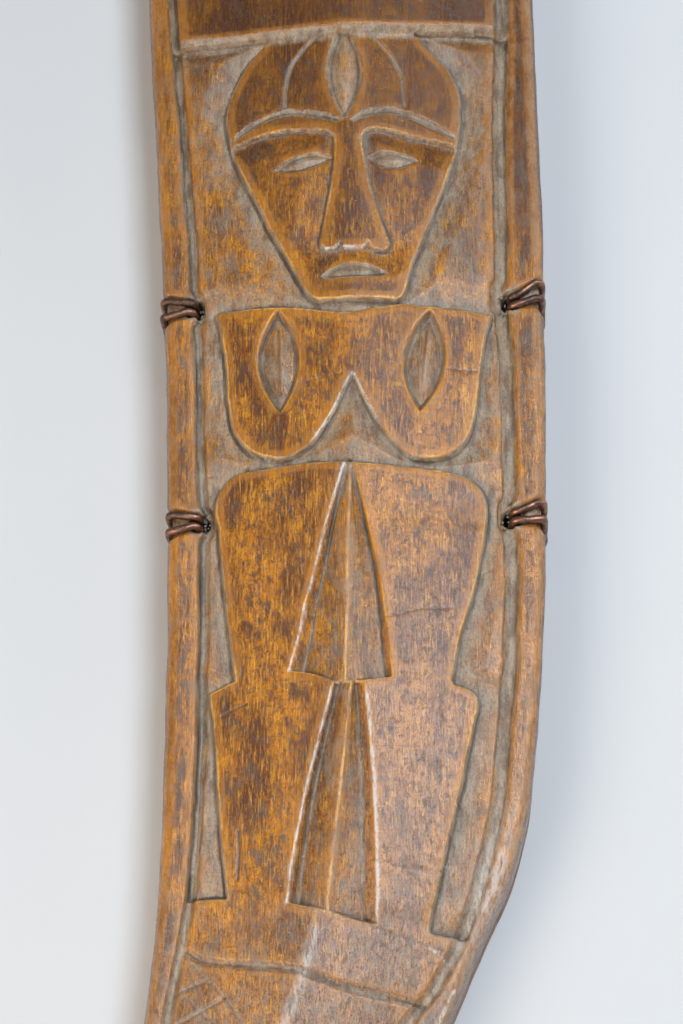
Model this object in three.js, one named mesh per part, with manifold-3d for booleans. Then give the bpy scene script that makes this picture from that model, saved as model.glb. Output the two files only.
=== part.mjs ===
// A carved wooden knife scabbard with its knife, lying on its flat back.
// Millimetres. +Z up out of the carved face, +Y along the scabbard towards the knife's handle,
// +X to the right of the carved figure. z = 0 is the flat back.
import * as THREE from "three";
import { mergeVertices } from "three/addons/utils/BufferGeometryUtils.js";
import Module from "manifold-3d";

const wasm = await Module();
wasm.setup();

// ---- driving dimensions ----
const MOUTH = 180; // y of the scabbard's mouth
const TOE = -172; // y of the tip of the toe
const GAP = 0.3; // between pieces that touch
const BACK_THICK = 6; // back board
const FACE_BACK = BACK_THICK + GAP; // underside of the face board
const RIM_TOP = 15; // flat of the rims
const ROOF_EDGE = 15.2; // carved field beside the rims
const ROOF_RISE = 5.8; // from there to the middle ridge
const GROUND_DEPTH = 1.6; // ground cut back behind the figure
const CHEEK_DEPTH = 0.7; // face cut back behind brow and nose
const BROW_DEPTH = 0.6; // brow and forehead cuts
const PANEL_RISE = 1.2; // plain panel over the figure
const PANEL_FOOT = 93.5; // y where that panel starts
const BLADE_THICK = 3.2;
const BLADE_MID = FACE_BACK + GAP + BLADE_THICK / 2; // z of the blade's middle plane
const BLADE_HALF = 16; // half the blade's width
const POINT = -88; // y of the blade's point
const POCKET_HALF = 18.3;
const POCKET_END = -92.6;
const POCKET_TIP = 11; // the pocket's right side at that end, inside the bowed rim
const POCKET_FULL = -76; // y from where it has its full width
const POCKET_TOP = BLADE_MID + BLADE_THICK / 2 + 0.6;
const WIRE = 1.4; // wire diameter
const WIRE_STEPS = 44;
const WIRE_SIDES = 5;
const HOLE_R = 1.95; // lashing hole
const EDGE_NICK = 1.3; // how deep the wires' nicks go into the boards' edges
const SCOOP = 1.2; // how deep the wires' seats go into the rims
const UNDER_SEAT = 2.1; // how deep they go into the flat back
const SEAT_BELOW = 3.2; // how far a seat reaches either side of its level along the board
const SEAT_ABOVE = 5.2;
const SEAT_INWARD = 1.2; // how far it reaches past the hole
const TURN_PITCH = 1.72; // between a loop's two turns in the hole
const TURN_SPREAD = 3; // and at the edge
const HANDLE_MID = 11.2; // z of the grip's middle
const HANDLE_START = 181.5; // y where the ferrule starts
const GRIP_START = 189;
const GRIP_END = 286;
const PINS = [232, 258]; // y of the grip's pins
const PIN_R = 1.5;
const SHOULDER = MOUTH - 2.5; // y where the blade steps in to its tang
const TANG_END = 296;
const TANG_HALF = 6.5; // half the tang's width at the shoulder
const TANG_END_HALF = 3.5;
const BINDING_WALL = 1.2;
const FRONT_BINDING = [198, 218]; // y of the wire bindings
const REAR_BINDING = [268, 278];
const BUTT_START = GRIP_END + GAP;
const BUTT_END = BUTT_START + 4.5;
const ROVE_THICK = 2;
const WELD = 0.05; // points closer than this are one point
const HIGH = 60; // taller than anything that is cut

// ---- colours ----
const paint = (color, roughness, metalness) => new THREE.MeshStandardMaterial({ color, roughness, metalness });
const WOOD = paint(0x8a4f22, 0.45, 0);
const BACK_WOOD = paint(0x6e4221, 0.6, 0);
const GRIP_WOOD = paint(0x4a2a16, 0.4, 0);
const COPPER = paint(0x5a3322, 0.35, 0.9);
const BRASS = paint(0x9a7a3c, 0.35, 0.9);
const STEEL = paint(0x77787a, 0.35, 0.9);

// ---- curves ----
// A smooth value at t through [t, value] knots in rising order.
function smooth(knots, t) {
  const last = knots.length - 1;
  let i = 0;
  while (i < last - 1 && t > knots[i + 1][0]) i += 1;
  const [[t0, v0], [t1, v1]] = [knots[i], knots[i + 1]];
  const slope = (a, b) => (knots[b][1] - knots[a][1]) / (knots[b][0] - knots[a][0]);
  const m0 = slope(Math.max(i - 1, 0), i + 1);
  const m1 = slope(i, Math.min(i + 2, last));
  const span = t1 - t0;
  const u = Math.min(Math.max((t - t0) / span, 0), 1);
  const [u2, u3] = [u * u, u * u * u];
  const from = v0 * (2 * u3 - 3 * u2 + 1) + m0 * span * (u3 - 2 * u2 + u);
  return from + v1 * (3 * u2 - 2 * u3) + m1 * span * (u3 - u2);
}

// A straight-line value at t through [t, value] knots.
function linear(knots, t) {
  let i = 0;
  while (i < knots.length - 2 && t > knots[i + 1][0]) i += 1;
  const [[t0, v0], [t1, v1]] = [knots[i], knots[i + 1]];
  const u = Math.min(Math.max((t - t0) / (t1 - t0), 0), 1);
  return v0 + (v1 - v0) * u;
}

// Points on a smooth plane curve through a few points.
function bend(points, steps) {
  return new THREE.SplineCurve(points.map(([x, y]) => new THREE.Vector2(x, y))).getPoints(steps);
}

const straight = (points) => points.map(([x, y]) => new THREE.Vector2(x, y));

// A pointed leaf between two tips, with a belly on each side.
function leaf([x0, y0], [x1, y1], left, right, steps = 8) {
  const middle = (y0 + y1) / 2;
  const down = bend([[x0, y0], [right, middle], [x1, y1]], steps);
  const up = bend([[x1, y1], [left, middle], [x0, y0]], steps);
  return [...down, ...up.slice(1, -1)];
}

// ---- solids ----
function toSolid(geometry) {
  const bare = geometry.index ? geometry.clone() : geometry;
  bare.deleteAttribute("normal");
  bare.deleteAttribute("uv");
  const merged = mergeVertices(bare, 1e-5);
  const mesh = new wasm.Mesh({
    numProp: 3,
    vertProperties: new Float32Array(merged.attributes.position.array),
    triVerts: new Uint32Array(merged.index.array),
  });
  return new wasm.Manifold(mesh);
}

// The solid's mesh, with points closer than WELD joined and the faces that this closes up dropped.
function toGeometry(solid) {
  const { vertProperties, triVerts } = solid.getMesh();
  const count = vertProperties.length / 3;
  const target = Array.from({ length: count }, (_, i) => i);
  const point = (i) => new THREE.Vector3().fromArray(vertProperties, 3 * i);
  const root = (i) => (target[i] === i ? i : root(target[i]));
  for (let f = 0; f < triVerts.length; f += 3) {
    for (let k = 0; k < 3; k += 1) {
      const [a, b] = [root(triVerts[f + k]), root(triVerts[f + ((k + 1) % 3)])];
      if (a !== b && point(a).distanceTo(point(b)) < WELD) target[Math.max(a, b)] = Math.min(a, b);
    }
  }
  const faces = [];
  for (let f = 0; f < triVerts.length; f += 3) {
    const [a, b, c] = [0, 1, 2].map((k) => root(triVerts[f + k]));
    if (a !== b && b !== c && c !== a) faces.push(a, b, c);
  }
  const geometry = new THREE.BufferGeometry();
  geometry.setAttribute("position", new THREE.BufferAttribute(vertProperties, 3));
  geometry.setIndex(faces);
  geometry.computeVertexNormals();
  return geometry;
}

function prism(outline, z0 = 1, z1 = HIGH) {
  const geometry = new THREE.ExtrudeGeometry(new THREE.Shape(outline), { depth: z1 - z0, bevelEnabled: false });
  return toSolid(geometry.translate(0, 0, z0));
}

function block(x0, x1, y0, y1, z0, z1) {
  const geometry = new THREE.BoxGeometry(x1 - x0, y1 - y0, z1 - z0);
  return toSolid(geometry.translate((x0 + x1) / 2, (y0 + y1) / 2, (z0 + z1) / 2));
}

function post(x, y, z0, z1, radius, sides = 12) {
  const geometry = new THREE.CylinderGeometry(radius, radius, z1 - z0, sides);
  return toSolid(geometry.rotateX(Math.PI / 2).translate(x, y, (z0 + z1) / 2));
}

// A body between two height fields, over rows of x at each y.
function slab(rows, across, top, bottom) {
  const columns = across(rows[0]).length;
  const positions = [];
  for (const y of rows) {
    for (const x of across(y)) {
      positions.push(x, y, top(x, y), x, y, bottom(x, y));
    }
  }
  const at = (row, column, under) => 2 * (row * columns + column) + under;
  const faces = [];
  const quad = (a, b, c, d) => faces.push(a, b, c, a, c, d);
  for (let r = 0; r < rows.length - 1; r += 1) {
    for (let c = 0; c < columns - 1; c += 1) {
      quad(at(r, c, 0), at(r, c + 1, 0), at(r + 1, c + 1, 0), at(r + 1, c, 0));
      quad(at(r, c, 1), at(r + 1, c, 1), at(r + 1, c + 1, 1), at(r, c + 1, 1));
    }
    const end = columns - 1;
    quad(at(r, 0, 0), at(r + 1, 0, 0), at(r + 1, 0, 1), at(r, 0, 1));
    quad(at(r, end, 0), at(r, end, 1), at(r + 1, end, 1), at(r + 1, end, 0));
  }
  for (let c = 0; c < columns - 1; c += 1) {
    const end = rows.length - 1;
    quad(at(0, c, 0), at(0, c, 1), at(0, c + 1, 1), at(0, c + 1, 0));
    quad(at(end, c, 0), at(end, c + 1, 0), at(end, c + 1, 1), at(end, c, 1));
  }
  const geometry = new THREE.BufferGeometry();
  geometry.setAttribute("position", new THREE.Float32BufferAttribute(positions, 3));
  geometry.setIndex(faces);
  return toSolid(geometry);
}

// ---- the scabbard's shape ----
// Outer edges as x at y: a board that bows, widens to the mouth and leans left to a narrow toe.
const LEFT_EDGE = [[-172, -53], [-150, -46.5], [-120, -38.8], [-88, -32.9], [-60, -30.8], [-25, -30.4],
  [14, -31.2], [57, -33.4], [106, -36.8], [145, -39], [180, -40]];
const RIGHT_EDGE = [[-172, -31], [-150, -17], [-120, 1], [-88, 17.3], [-78, 21.8], [-61, 29.3], [-44, 32.5],
  [-15, 34.9], [13, 35.8], [56, 36.2], [103, 35.7], [145, 34.8], [180, 34]];
// Distance in from each edge to the groove inside the rim.
const LEFT_RIM = [[-172, 3.4], [-120, 4], [-88, 4.1], [-73, 5.2], [-57, 6], [-10, 6.4], [14, 6.1], [52, 5.9],
  [83, 5.1], [104, 4.7], [180, 4.7]];
const RIGHT_RIM = [[-172, 3.4], [-120, 4.2], [-90, 4.4], [-76, 3.4], [-62, 4.6], [-46, 5.2], [-20, 5.5],
  [17, 6.5], [50, 7.5], [80, 6.8], [103, 5.7], [180, 5.6]];
// The middle ridge of the roof-shaped field.
const RIDGE = [[-172, -42], [-120, -19.5], [-90, -10], [-72, -4.3], [-50, -0.5], [0, 1.5], [60, 1.8],
  [180, -2.5]];
const TOE_ROUND = 13; // length over which the toe rounds to its tip
const TOE_BLUNT = 0.68; // 1 would round it to a point
const RIM_EDGE = [[0, 12.2], [0.8, 14.3], [2, RIM_TOP]]; // height of the rounded outer edge, by distance in
const GROOVE_FLOOR = 13.4;
const ROOF_CURVE = 1.25; // 1 is a roof of two flat sides
const FULL_WIDTH = 55; // below this width the roof gets lower

function edges(y) {
  const [left, right] = [smooth(LEFT_EDGE, y), smooth(RIGHT_EDGE, y)];
  const into = Math.max((TOE + TOE_ROUND - y) / TOE_ROUND, 0);
  const keep = Math.sqrt(1 - TOE_BLUNT * into * into);
  const middle = (left + right) / 2;
  return [middle + (left - middle) * keep, middle + (right - middle) * keep];
}

// Height of the carved side before the ground is cut back.
function faceTop(x, y) {
  const [left, right] = edges(y);
  const fromLeft = x - left;
  const fromRight = right - x;
  const rim = fromLeft < fromRight ? smooth(LEFT_RIM, y) : smooth(RIGHT_RIM, y);
  const inset = Math.min(fromLeft, fromRight);
  if (inset < rim + 1) {
    return linear([...RIM_EDGE, [rim - 1, RIM_TOP], [rim, GROOVE_FLOOR], [rim + 1, ROOF_EDGE]], inset);
  }
  const ridge = smooth(RIDGE, y);
  const foot = x < ridge ? left + rim + 1 : right - rim - 1;
  const share = Math.min(Math.max((x - ridge) / (foot - ridge), 0), 1);
  const shrink = Math.min((right - left) / FULL_WIDTH, 1);
  return ROOF_EDGE + ROOF_RISE * shrink * (1 - share ** ROOF_CURVE);
}

// What the plain panel adds to that height, inside the rims' grooves.
function panelRise(x, y) {
  const [left, right] = edges(y);
  const inside = x > left + smooth(LEFT_RIM, y) + 0.9 && x < right - smooth(RIGHT_RIM, y) - 0.9;
  return inside && y > PANEL_FOOT ? PANEL_RISE : 0;
}

// The x of each column of points at y.
function across(y) {
  const [left, right] = edges(y);
  const [rimL, rimR] = [smooth(LEFT_RIM, y), smooth(RIGHT_RIM, y)];
  const ridge = smooth(RIDGE, y);
  const footL = left + rimL + 1;
  const footR = right - rimR - 1;
  const slope = [0.3, 0.6, 0.85];
  return [
    left, left + 0.8, left + 2, left + rimL - 1, left + rimL, footL,
    ...slope.map((s) => footL + (ridge - footL) * s),
    ridge,
    ...slope.toReversed().map((s) => footR + (ridge - footR) * s),
    footR, right - rimR, right - rimR + 1, right - 2, right - 0.8, right,
  ];
}

function rowsBetween(from, to, step) {
  const count = Math.round((to - from) / step);
  return Array.from({ length: count + 1 }, (_, i) => from + ((to - from) * i) / count);
}

const ROWS = [
  TOE, TOE + 1.5, TOE + 4, TOE + 8, ...rowsBetween(TOE + TOE_ROUND, -60, 11),
  ...rowsBetween(-48, PANEL_FOOT - 0.6, 12), PANEL_FOOT + 0.9, ...rowsBetween(106, MOUTH, 12),
];

// A closed eye between two corners.
function eye([x0, y0], [x1, y1]) {
  const middle = (x0 + x1) / 2;
  const level = (y0 + y1) / 2;
  const upper = bend([[x0, y0], [middle, level + 1.9], [x1, y1]], 6);
  const lower = bend([[x1, y1], [middle, level - 1.7], [x0, y0]], 6);
  return [...upper, ...lower.slice(1, -1)];
}

// ---- the figure's outlines ----
const HEAD = [
  ...bend([[-11.5, 95], [-15.2, 90.6], [-18.7, 86.4], [-20.6, 80], [-20.2, 73.6], [-18.2, 66.6], [-12.5, 53.8],
    [-8.9, 46.8], [-6, 41.3], [-3.8, 39.4]], 22),
  ...bend([[9.9, 39.4], [12, 43.6], [16.1, 55.4], [20.4, 69], [21.5, 77], [20.6, 83.6], [16.6, 89.4],
    [12, 95]], 22),
];
const NOSE = [
  ...bend([[-0.8, 76], [-1.1, 68], [-2.4, 57], [-3.6, 50]], 6),
  ...straight([[-1.8, 49.3], [0.1, 50.2], [4.8, 50.2], [6.6, 49.2]]),
  ...bend([[8.5, 49.7], [6.2, 57], [4.1, 67], [3.8, 76]], 6),
];
const UNDER_BROW = [
  ...bend([[-24, 69], [-19.2, 72], [-15, 73.3], [-10.5, 73.8], [-5, 73.2], [0, 71.5]], 10),
  ...bend([[3, 72], [9.5, 72.6], [14, 71.5], [20, 70.2], [25, 68]], 8),
  ...straight([[25, 39], [-24, 39]]),
];
const BROWS = [
  [...bend([[-19.3, 74.3], [-15.1, 76.9], [-10.2, 78], [-5, 77], [0.3, 75]], 8),
    ...bend([[-4.8, 75.9], [-10.2, 76.9], [-15, 75.7], [-19.5, 73.4]], 8)],
  [...bend([[2.2, 75], [5.4, 76.9], [9.7, 77.2], [14.1, 75.9], [20.8, 72.9]], 8),
    ...bend([[20.2, 72.1], [14, 74.8], [9.7, 76.1], [5.6, 75.8]], 8)],
];
const EYES = [eye([-12.4, 65.8], [-0.9, 67.5]), eye([4.7, 67.4], [14.4, 67.2])];
const MOUTH_SHAPE = [...bend([[-3.3, 44], [1.9, 46.2], [7.5, 44.4]], 8), ...bend([[2, 43.5], [-1.5, 43.5]], 2)];
const BROW_LEAF = leaf([-0.2, 91.6], [0.9, 79], -2.6, 3.9);
const ARMS = [
  ...bend([[-22.4, 38.6], [-21, 32.5], [-20.1, 26.5], [-19.5, 19.5], [-17.4, 13.5], [-13, 10.3], [-9.7, 9.8],
    [-6.6, 10.9], [-3.6, 13.6], [-0.9, 19]], 22),
  ...bend([[2.1, 24.9], [3.8, 21.5], [6.2, 16.1], [9, 12.1], [11.6, 10], [14.7, 9.2], [18.3, 10.1], [21.8, 14],
    [23.8, 21.5], [24.5, 27.8], [26.3, 37.4]], 22),
  ...bend([[16, 38], [10.9, 38.1], [1.5, 36.5], [-6.9, 37.8], [-11.6, 38.8]], 8),
];
const LEAVES = [leaf([-11.3, 38.2], [-10.8, 18.4], -14.9, -7.2), leaf([15.8, 37.6], [13.9, 17.8], 11, 18.5)];
const LEGS = [
  ...bend([[-22, -1], [-21.9, 3.4], [-19.8, 7.2], [-15, 7.9]], 8),
  ...straight([[-6.9, 8], [0.6, 7.7], [8.2, 7.4]]),
  ...bend([[17, 7.1], [22.4, 6], [25, 2.6], [25, -2.5]], 8),
  ...straight([[22.6, -14.8], [20.4, -21.7], [18.3, -31.3], [23.1, -33.6], [22, -39.5], [20.6, -46.3],
    [17.9, -57.6], [15.5, -67], [14.4, -73.8], [30, -77], [20, -100], [-40, -100], [-40, -65.5], [-18.8, -68.2], [-20, -59],
    [-20.6, -53.5], [-21.1, -45.8], [-22.4, -31.9], [-18.1, -30.5], [-19.5, -19.2], [-20.5, -11.8]]),
];
const LEG_GAPS = [
  straight([[0.6, 7], [-2.5, -3.3], [-5.4, -15.7], [-8.8, -29.6], [-6.3, -29.9], [-0.7, -31.8], [3, -31.6],
    [8.8, -31], [6.8, -13.4], [4.8, -3.5], [2.4, 7]]),
  straight([[-1.1, -32.4], [-2.9, -38.9], [-6.9, -56.1], [-8.8, -69.7], [-0.1, -71.7], [6, -73.1], [5.9, -61.8],
    [4.9, -40.4], [4.1, -32.4]]),
];

// ---- lashing levels ----
// Each level has a wire loop on each rim: y at the hole, y at the edge, and distance of the hole from the edge.
const LASHINGS = [
  { name: "mouth", y: 166, lean: 1.5, inset: 5.6 },
  { name: "shoulder", y: 120, lean: 1.5, inset: 5.8 },
  { name: "upper", y: 40.6, lean: 2, inset: 5.9 },
  { name: "lower", y: -0.6, lean: 1, inset: 5.7 },
  { name: "toe", y: -128, lean: 1, inset: 4.6 },
];

// Where a loop's hole and edge lie. side is -1 on the left rim and 1 on the right.
function lashingPlace(level, side) {
  const edge = edges(level.y)[side < 0 ? 0 : 1];
  const outY = level.y + (side > 0 ? level.lean : 0);
  return { side, edge, hole: edge - side * level.inset, y: level.y, outY };
}

const PLACES = LASHINGS.flatMap((level) => [-1, 1].map((side) => ({ level, ...lashingPlace(level, side) })));

// A block across an edge from x at one side to x at the other, over a level's seat along the board.
function seatBlock(place, inward, z0, z1) {
  const [x0, x1] = [inward, place.edge + place.side * 3].toSorted((a, b) => a - b);
  return block(x0, x1, place.y - SEAT_BELOW, place.y + SEAT_ABOVE, z0, z1);
}

// Room for the wires: a scoop over the rim and a nick in the outer edge.
function rimNotch(place) {
  const nick = seatBlock(place, place.edge - place.side * EDGE_NICK, -3, HIGH);
  return nick.add(seatBlock(place, place.hole - place.side * SEAT_INWARD, RIM_TOP - SCOOP, HIGH));
}

// The hole that a loop goes through.
const lashingHole = (place) => post(place.hole, place.y, -2, HIGH, HOLE_R);

// Two turns of wire through the hole, over the rim, down the edge and back under.
function lashing(place) {
  const radius = WIRE / 2;
  const top = RIM_TOP - SCOOP + GAP + radius;
  const under = 0.35 + radius;
  const outside = place.edge - place.side * (EDGE_NICK - GAP - radius);
  const corner = place.side * 1.1;
  const { hole, y } = place;
  const path = [[hole, y - TURN_PITCH / 2, 4], [hole, y - TURN_PITCH / 2, 9]];
  for (const turn of [0, 1]) {
    const inY = y - TURN_PITCH / 2 + turn * TURN_PITCH;
    const outY = place.outY - TURN_SPREAD / 2 + turn * TURN_SPREAD;
    path.push([hole, inY, top - 1.2], [hole + corner * 0.35, inY + 0.1, top - 0.25]);
    path.push([hole + corner, inY + 0.2, top]);
    path.push([(hole + outside) / 2, (inY + outY) / 2, top + 0.1], [outside - corner, outY, top - 0.05]);
    path.push([outside - corner * 0.25, outY, top - 0.35], [outside, outY, top - 1.3], [outside, outY, 8]);
    path.push([outside, outY, under + 1.3], [outside - corner * 0.25, outY, under + 0.3]);
    path.push([outside - corner, outY, under]);
    if (turn === 0) {
      const nextY = inY + TURN_PITCH;
      path.push([hole + corner, nextY, under], [hole + corner * 0.3, nextY, under + 0.3]);
      path.push([hole, nextY, under + 1.4], [hole, nextY, 8]);
    } else {
      path.push([hole + corner * 1.2, outY - 0.5, under]);
    }
  }
  const curve = new THREE.CatmullRomCurve3(path.map((p) => new THREE.Vector3(...p)), false, "centripetal");
  const section = new THREE.Shape();
  for (let i = 0; i < WIRE_SIDES; i += 1) {
    const angle = (i * 2 * Math.PI) / WIRE_SIDES;
    section[i ? "lineTo" : "moveTo"](radius * Math.cos(angle), radius * Math.sin(angle));
  }
  section.closePath();
  const sweep = { steps: WIRE_STEPS, extrudePath: curve, curveSegments: 1 };
  return toSolid(new THREE.ExtrudeGeometry(section, sweep));
}

// ---- the two boards ----
// The carved field between the rims, from the toe's end of the figure up to the panel.
function fieldOutline() {
  const ys = rowsBetween(-76, PANEL_FOOT, 12);
  const left = ys.map((y) => new THREE.Vector2(edges(y)[0] + smooth(LEFT_RIM, y) + 0.2, y));
  const right = ys.map((y) => new THREE.Vector2(edges(y)[1] - smooth(RIGHT_RIM, y) - 0.2, y));
  return [...right, ...left.toReversed()];
}

// The pocket for the blade. It narrows at its end, where the board's right edge turns in.
function pocketOutline() {
  const corners = [
    [-POCKET_HALF, POCKET_END], [POCKET_TIP, POCKET_END], [POCKET_HALF, POCKET_FULL],
    [POCKET_HALF, MOUTH + 5], [-POCKET_HALF, MOUTH + 5],
  ];
  return corners.map(([x, y]) => new THREE.Vector2(x, y));
}

// What stands above a height that follows the carved side, depth under it.
const above = (depth) => slab(ROWS, across, () => HIGH, (x, y) => faceTop(x, y) - depth);

function faceBoard() {
  let board = slab(ROWS, across, (x, y) => faceTop(x, y) + panelRise(x, y), () => FACE_BACK);
  const head = prism(HEAD);
  const figure = head.add(prism(ARMS)).subtract(prism(LEAVES[0])).subtract(prism(LEAVES[1]));
  const legs = prism(LEGS).subtract(prism(LEG_GAPS[0])).subtract(prism(LEG_GAPS[1]));
  const ground = prism(fieldOutline()).subtract(figure).subtract(legs).intersect(above(GROUND_DEPTH));
  board = board.subtract(ground);
  let cheeks = prism(UNDER_BROW).subtract(prism(NOSE));
  for (const outline of [...EYES, MOUTH_SHAPE]) cheeks = cheeks.subtract(prism(outline));
  board = board.subtract(cheeks.intersect(above(CHEEK_DEPTH)));
  for (const outline of [...BROWS, BROW_LEAF]) {
    board = board.subtract(prism(outline).intersect(above(BROW_DEPTH)));
  }
  board = board.subtract(prism(pocketOutline(), FACE_BACK - 2, POCKET_TOP));
  for (const place of PLACES) board = board.subtract(rimNotch(place).add(lashingHole(place)));
  return board;
}

function backBoard() {
  const bottom = (x, y) => {
    const [left, right] = edges(y);
    return linear([[0, 1.4], [0.8, 0.4], [2, 0]], Math.min(x - left, right - x));
  };
  const flat = (y) => {
    const [left, right] = edges(y);
    return [left, left + 0.8, left + 2, right - 2, right - 0.8, right];
  };
  let board = slab(ROWS, flat, () => BACK_THICK, bottom);
  for (const place of PLACES) {
    const under = seatBlock(place, place.hole - place.side * SEAT_INWARD, -1, UNDER_SEAT);
    board = board.subtract(rimNotch(place).add(under).add(lashingHole(place)));
  }
  return board;
}

// ---- the knife ----
const TANG = [
  [SHOULDER, BLADE_HALF], [SHOULDER + 3, TANG_HALF], [TANG_END - 12, TANG_END_HALF], [TANG_END, TANG_END_HALF],
];

// The x of the blade's back and of its cutting edge at y.
function bladeEdges(y) {
  if (y > SHOULDER) {
    const taper = linear(TANG, y);
    return [-taper, taper];
  }
  const spine = linear([[POINT, -BLADE_HALF + 3], [POINT + 30, -BLADE_HALF], [SHOULDER, -BLADE_HALF]], y);
  const reach = Math.min((y - POINT + 1) / 55, 1);
  const edge = spine + (BLADE_HALF - spine) * Math.sqrt(1 - (1 - reach) ** 2);
  return [spine, edge];
}

function blade() {
  const fromPoint = [0, 1.5, 5, 12, 20, 30, 42, 54].map((distance) => POINT + distance);
  const rows = [...fromPoint, 0, 60, 120, SHOULDER, SHOULDER + 3, 240, TANG_END];
  const columns = (y) => {
    const [spine, edge] = bladeEdges(y);
    return [0, 0.3, 0.55, 1].map((share) => spine + (edge - spine) * share);
  };
  const half = (x, y) => {
    if (y > SHOULDER) return BLADE_THICK / 2;
    const [spine, edge] = bladeEdges(y);
    const share = (x - spine) / (edge - spine);
    return linear([[0, BLADE_THICK / 2], [0.55, BLADE_THICK / 2 - 0.1], [1, 0.25]], share);
  };
  const solid = slab(rows, columns, (x, y) => BLADE_MID + half(x, y), (x, y) => BLADE_MID - half(x, y));
  return PINS.reduce((rest, y) => rest.subtract(post(0, y, 0, HIGH, PIN_R + GAP)), solid);
}

// Half width and half thickness of the grip at y.
const GRIP_WIDE = [[185, 14.2], [200, 13.4], [225, 13.2], [250, 14.6], [272, 17], [286, 17.6]];
const GRIP_THICK = [[185, 9.3], [200, 8.9], [225, 8.8], [250, 9.2], [272, 9.5], [286, 9.6]];

// An oval body along Y, from half width and half thickness at each y.
function oval(rows, wide, thick, sides = 20, middle = HANDLE_MID) {
  const positions = [];
  for (const y of rows) {
    for (let i = 0; i < sides; i += 1) {
      const angle = (2 * Math.PI * i) / sides;
      positions.push(wide(y) * Math.cos(angle), y, middle + thick(y) * Math.sin(angle));
    }
  }
  const last = rows.length - 1;
  positions.push(0, rows[0], middle, 0, rows[last], middle);
  const faces = [];
  for (let r = 0; r < last; r += 1) {
    for (let i = 0; i < sides; i += 1) {
      const [a, b] = [r * sides + i, r * sides + ((i + 1) % sides)];
      faces.push(a, a + sides, b, b, a + sides, b + sides);
    }
  }
  const [start, end] = [rows.length * sides, rows.length * sides + 1];
  for (let i = 0; i < sides; i += 1) {
    const next = (i + 1) % sides;
    faces.push(start, i, next, end, last * sides + next, last * sides + i);
  }
  const geometry = new THREE.BufferGeometry();
  geometry.setAttribute("position", new THREE.Float32BufferAttribute(positions, 3));
  geometry.setIndex(faces);
  return toSolid(geometry);
}

// A slot for the tang, with extra room round it.
function tangSlot(half, extra) {
  const reach = BLADE_THICK / 2 + extra;
  return block(-half - extra, half + extra, 150, TANG_END + 5, BLADE_MID - reach, BLADE_MID + reach);
}

const gripWide = (y) => smooth(GRIP_WIDE, y);
const gripThick = (y) => smooth(GRIP_THICK, y);

function grip() {
  const rows = rowsBetween(GRIP_START, GRIP_END, 8);
  const solid = oval(rows, gripWide, gripThick).subtract(tangSlot(TANG_HALF, GAP));
  return PINS.reduce((rest, y) => rest.subtract(post(0, y, -5, HIGH, PIN_R + 2 * GAP)), solid);
}

// A sleeve round the grip from one y to another.
function sleeve([from, to]) {
  const around = (rows, out) => oval(rows, (y) => gripWide(y) + out, (y) => gripThick(y) + out);
  const outer = around(rowsBetween(from, to, (to - from) / 3), GAP + BINDING_WALL);
  return outer.subtract(around(rowsBetween(from - 1, to + 1, (to - from + 2) / 3), GAP));
}

function ferrule() {
  const cup = oval([HANDLE_START, HANDLE_START + 1, 196], () => 15.6, () => 11);
  const held = (y) => Math.max(y, GRIP_START);
  const rows = [GRIP_START - GAP, 192, 198];
  const bore = oval(rows, (y) => gripWide(held(y)) + GAP, (y) => gripThick(held(y)) + GAP);
  return cup.subtract(bore).subtract(tangSlot(TANG_HALF, GAP));
}

function buttCap() {
  const end = (y) => y > BUTT_END - 0.1;
  const rows = [BUTT_START, BUTT_START + 3.4, BUTT_END];
  const cap = oval(rows, (y) => (end(y) ? 16.4 : 18), (y) => (end(y) ? 9.6 : 11));
  return cap.subtract(tangSlot(TANG_END_HALF + 1, GAP));
}

function rove() {
  const plate = oval([BUTT_END + GAP, BUTT_END + GAP + ROVE_THICK], () => 7.5, () => 5.5, 16, BLADE_MID);
  return plate.subtract(tangSlot(TANG_END_HALF, GAP));
}

function pin(y) {
  const reach = gripThick(y) + 0.5;
  return post(0, y, HANDLE_MID - reach, HANDLE_MID + reach, PIN_R, 10);
}

// ---- the assembly ----
const part = new THREE.Group();
part.name = "knife_and_scabbard";

function add(name, solid, material) {
  const mesh = new THREE.Mesh(toGeometry(solid), material);
  mesh.name = name;
  part.add(mesh);
}

add("face_board", faceBoard(), WOOD);
add("back_board", backBoard(), BACK_WOOD);
for (const place of PLACES) {
  add(`${place.level.name}_lashing_${place.side < 0 ? "left" : "right"}`, lashing(place), COPPER);
}
add("blade", blade(), STEEL);
add("ferrule", ferrule(), BRASS);
add("grip", grip(), GRIP_WOOD);
add("front_wire_binding", sleeve(FRONT_BINDING), COPPER);
add("rear_wire_binding", sleeve(REAR_BINDING), COPPER);
add("butt_cap", buttCap(), BRASS);
add("tang_rove", rove(), BRASS);
PINS.forEach((y, i) => add(`grip_pin_${i + 1}`, pin(y), BRASS));

export default part;
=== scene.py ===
"""Looks for a carved wooden knife scabbard, lashed with copper wire, and its knife."""
import math

import bpy
import numpy as np
from mathutils import Matrix, Vector


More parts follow.
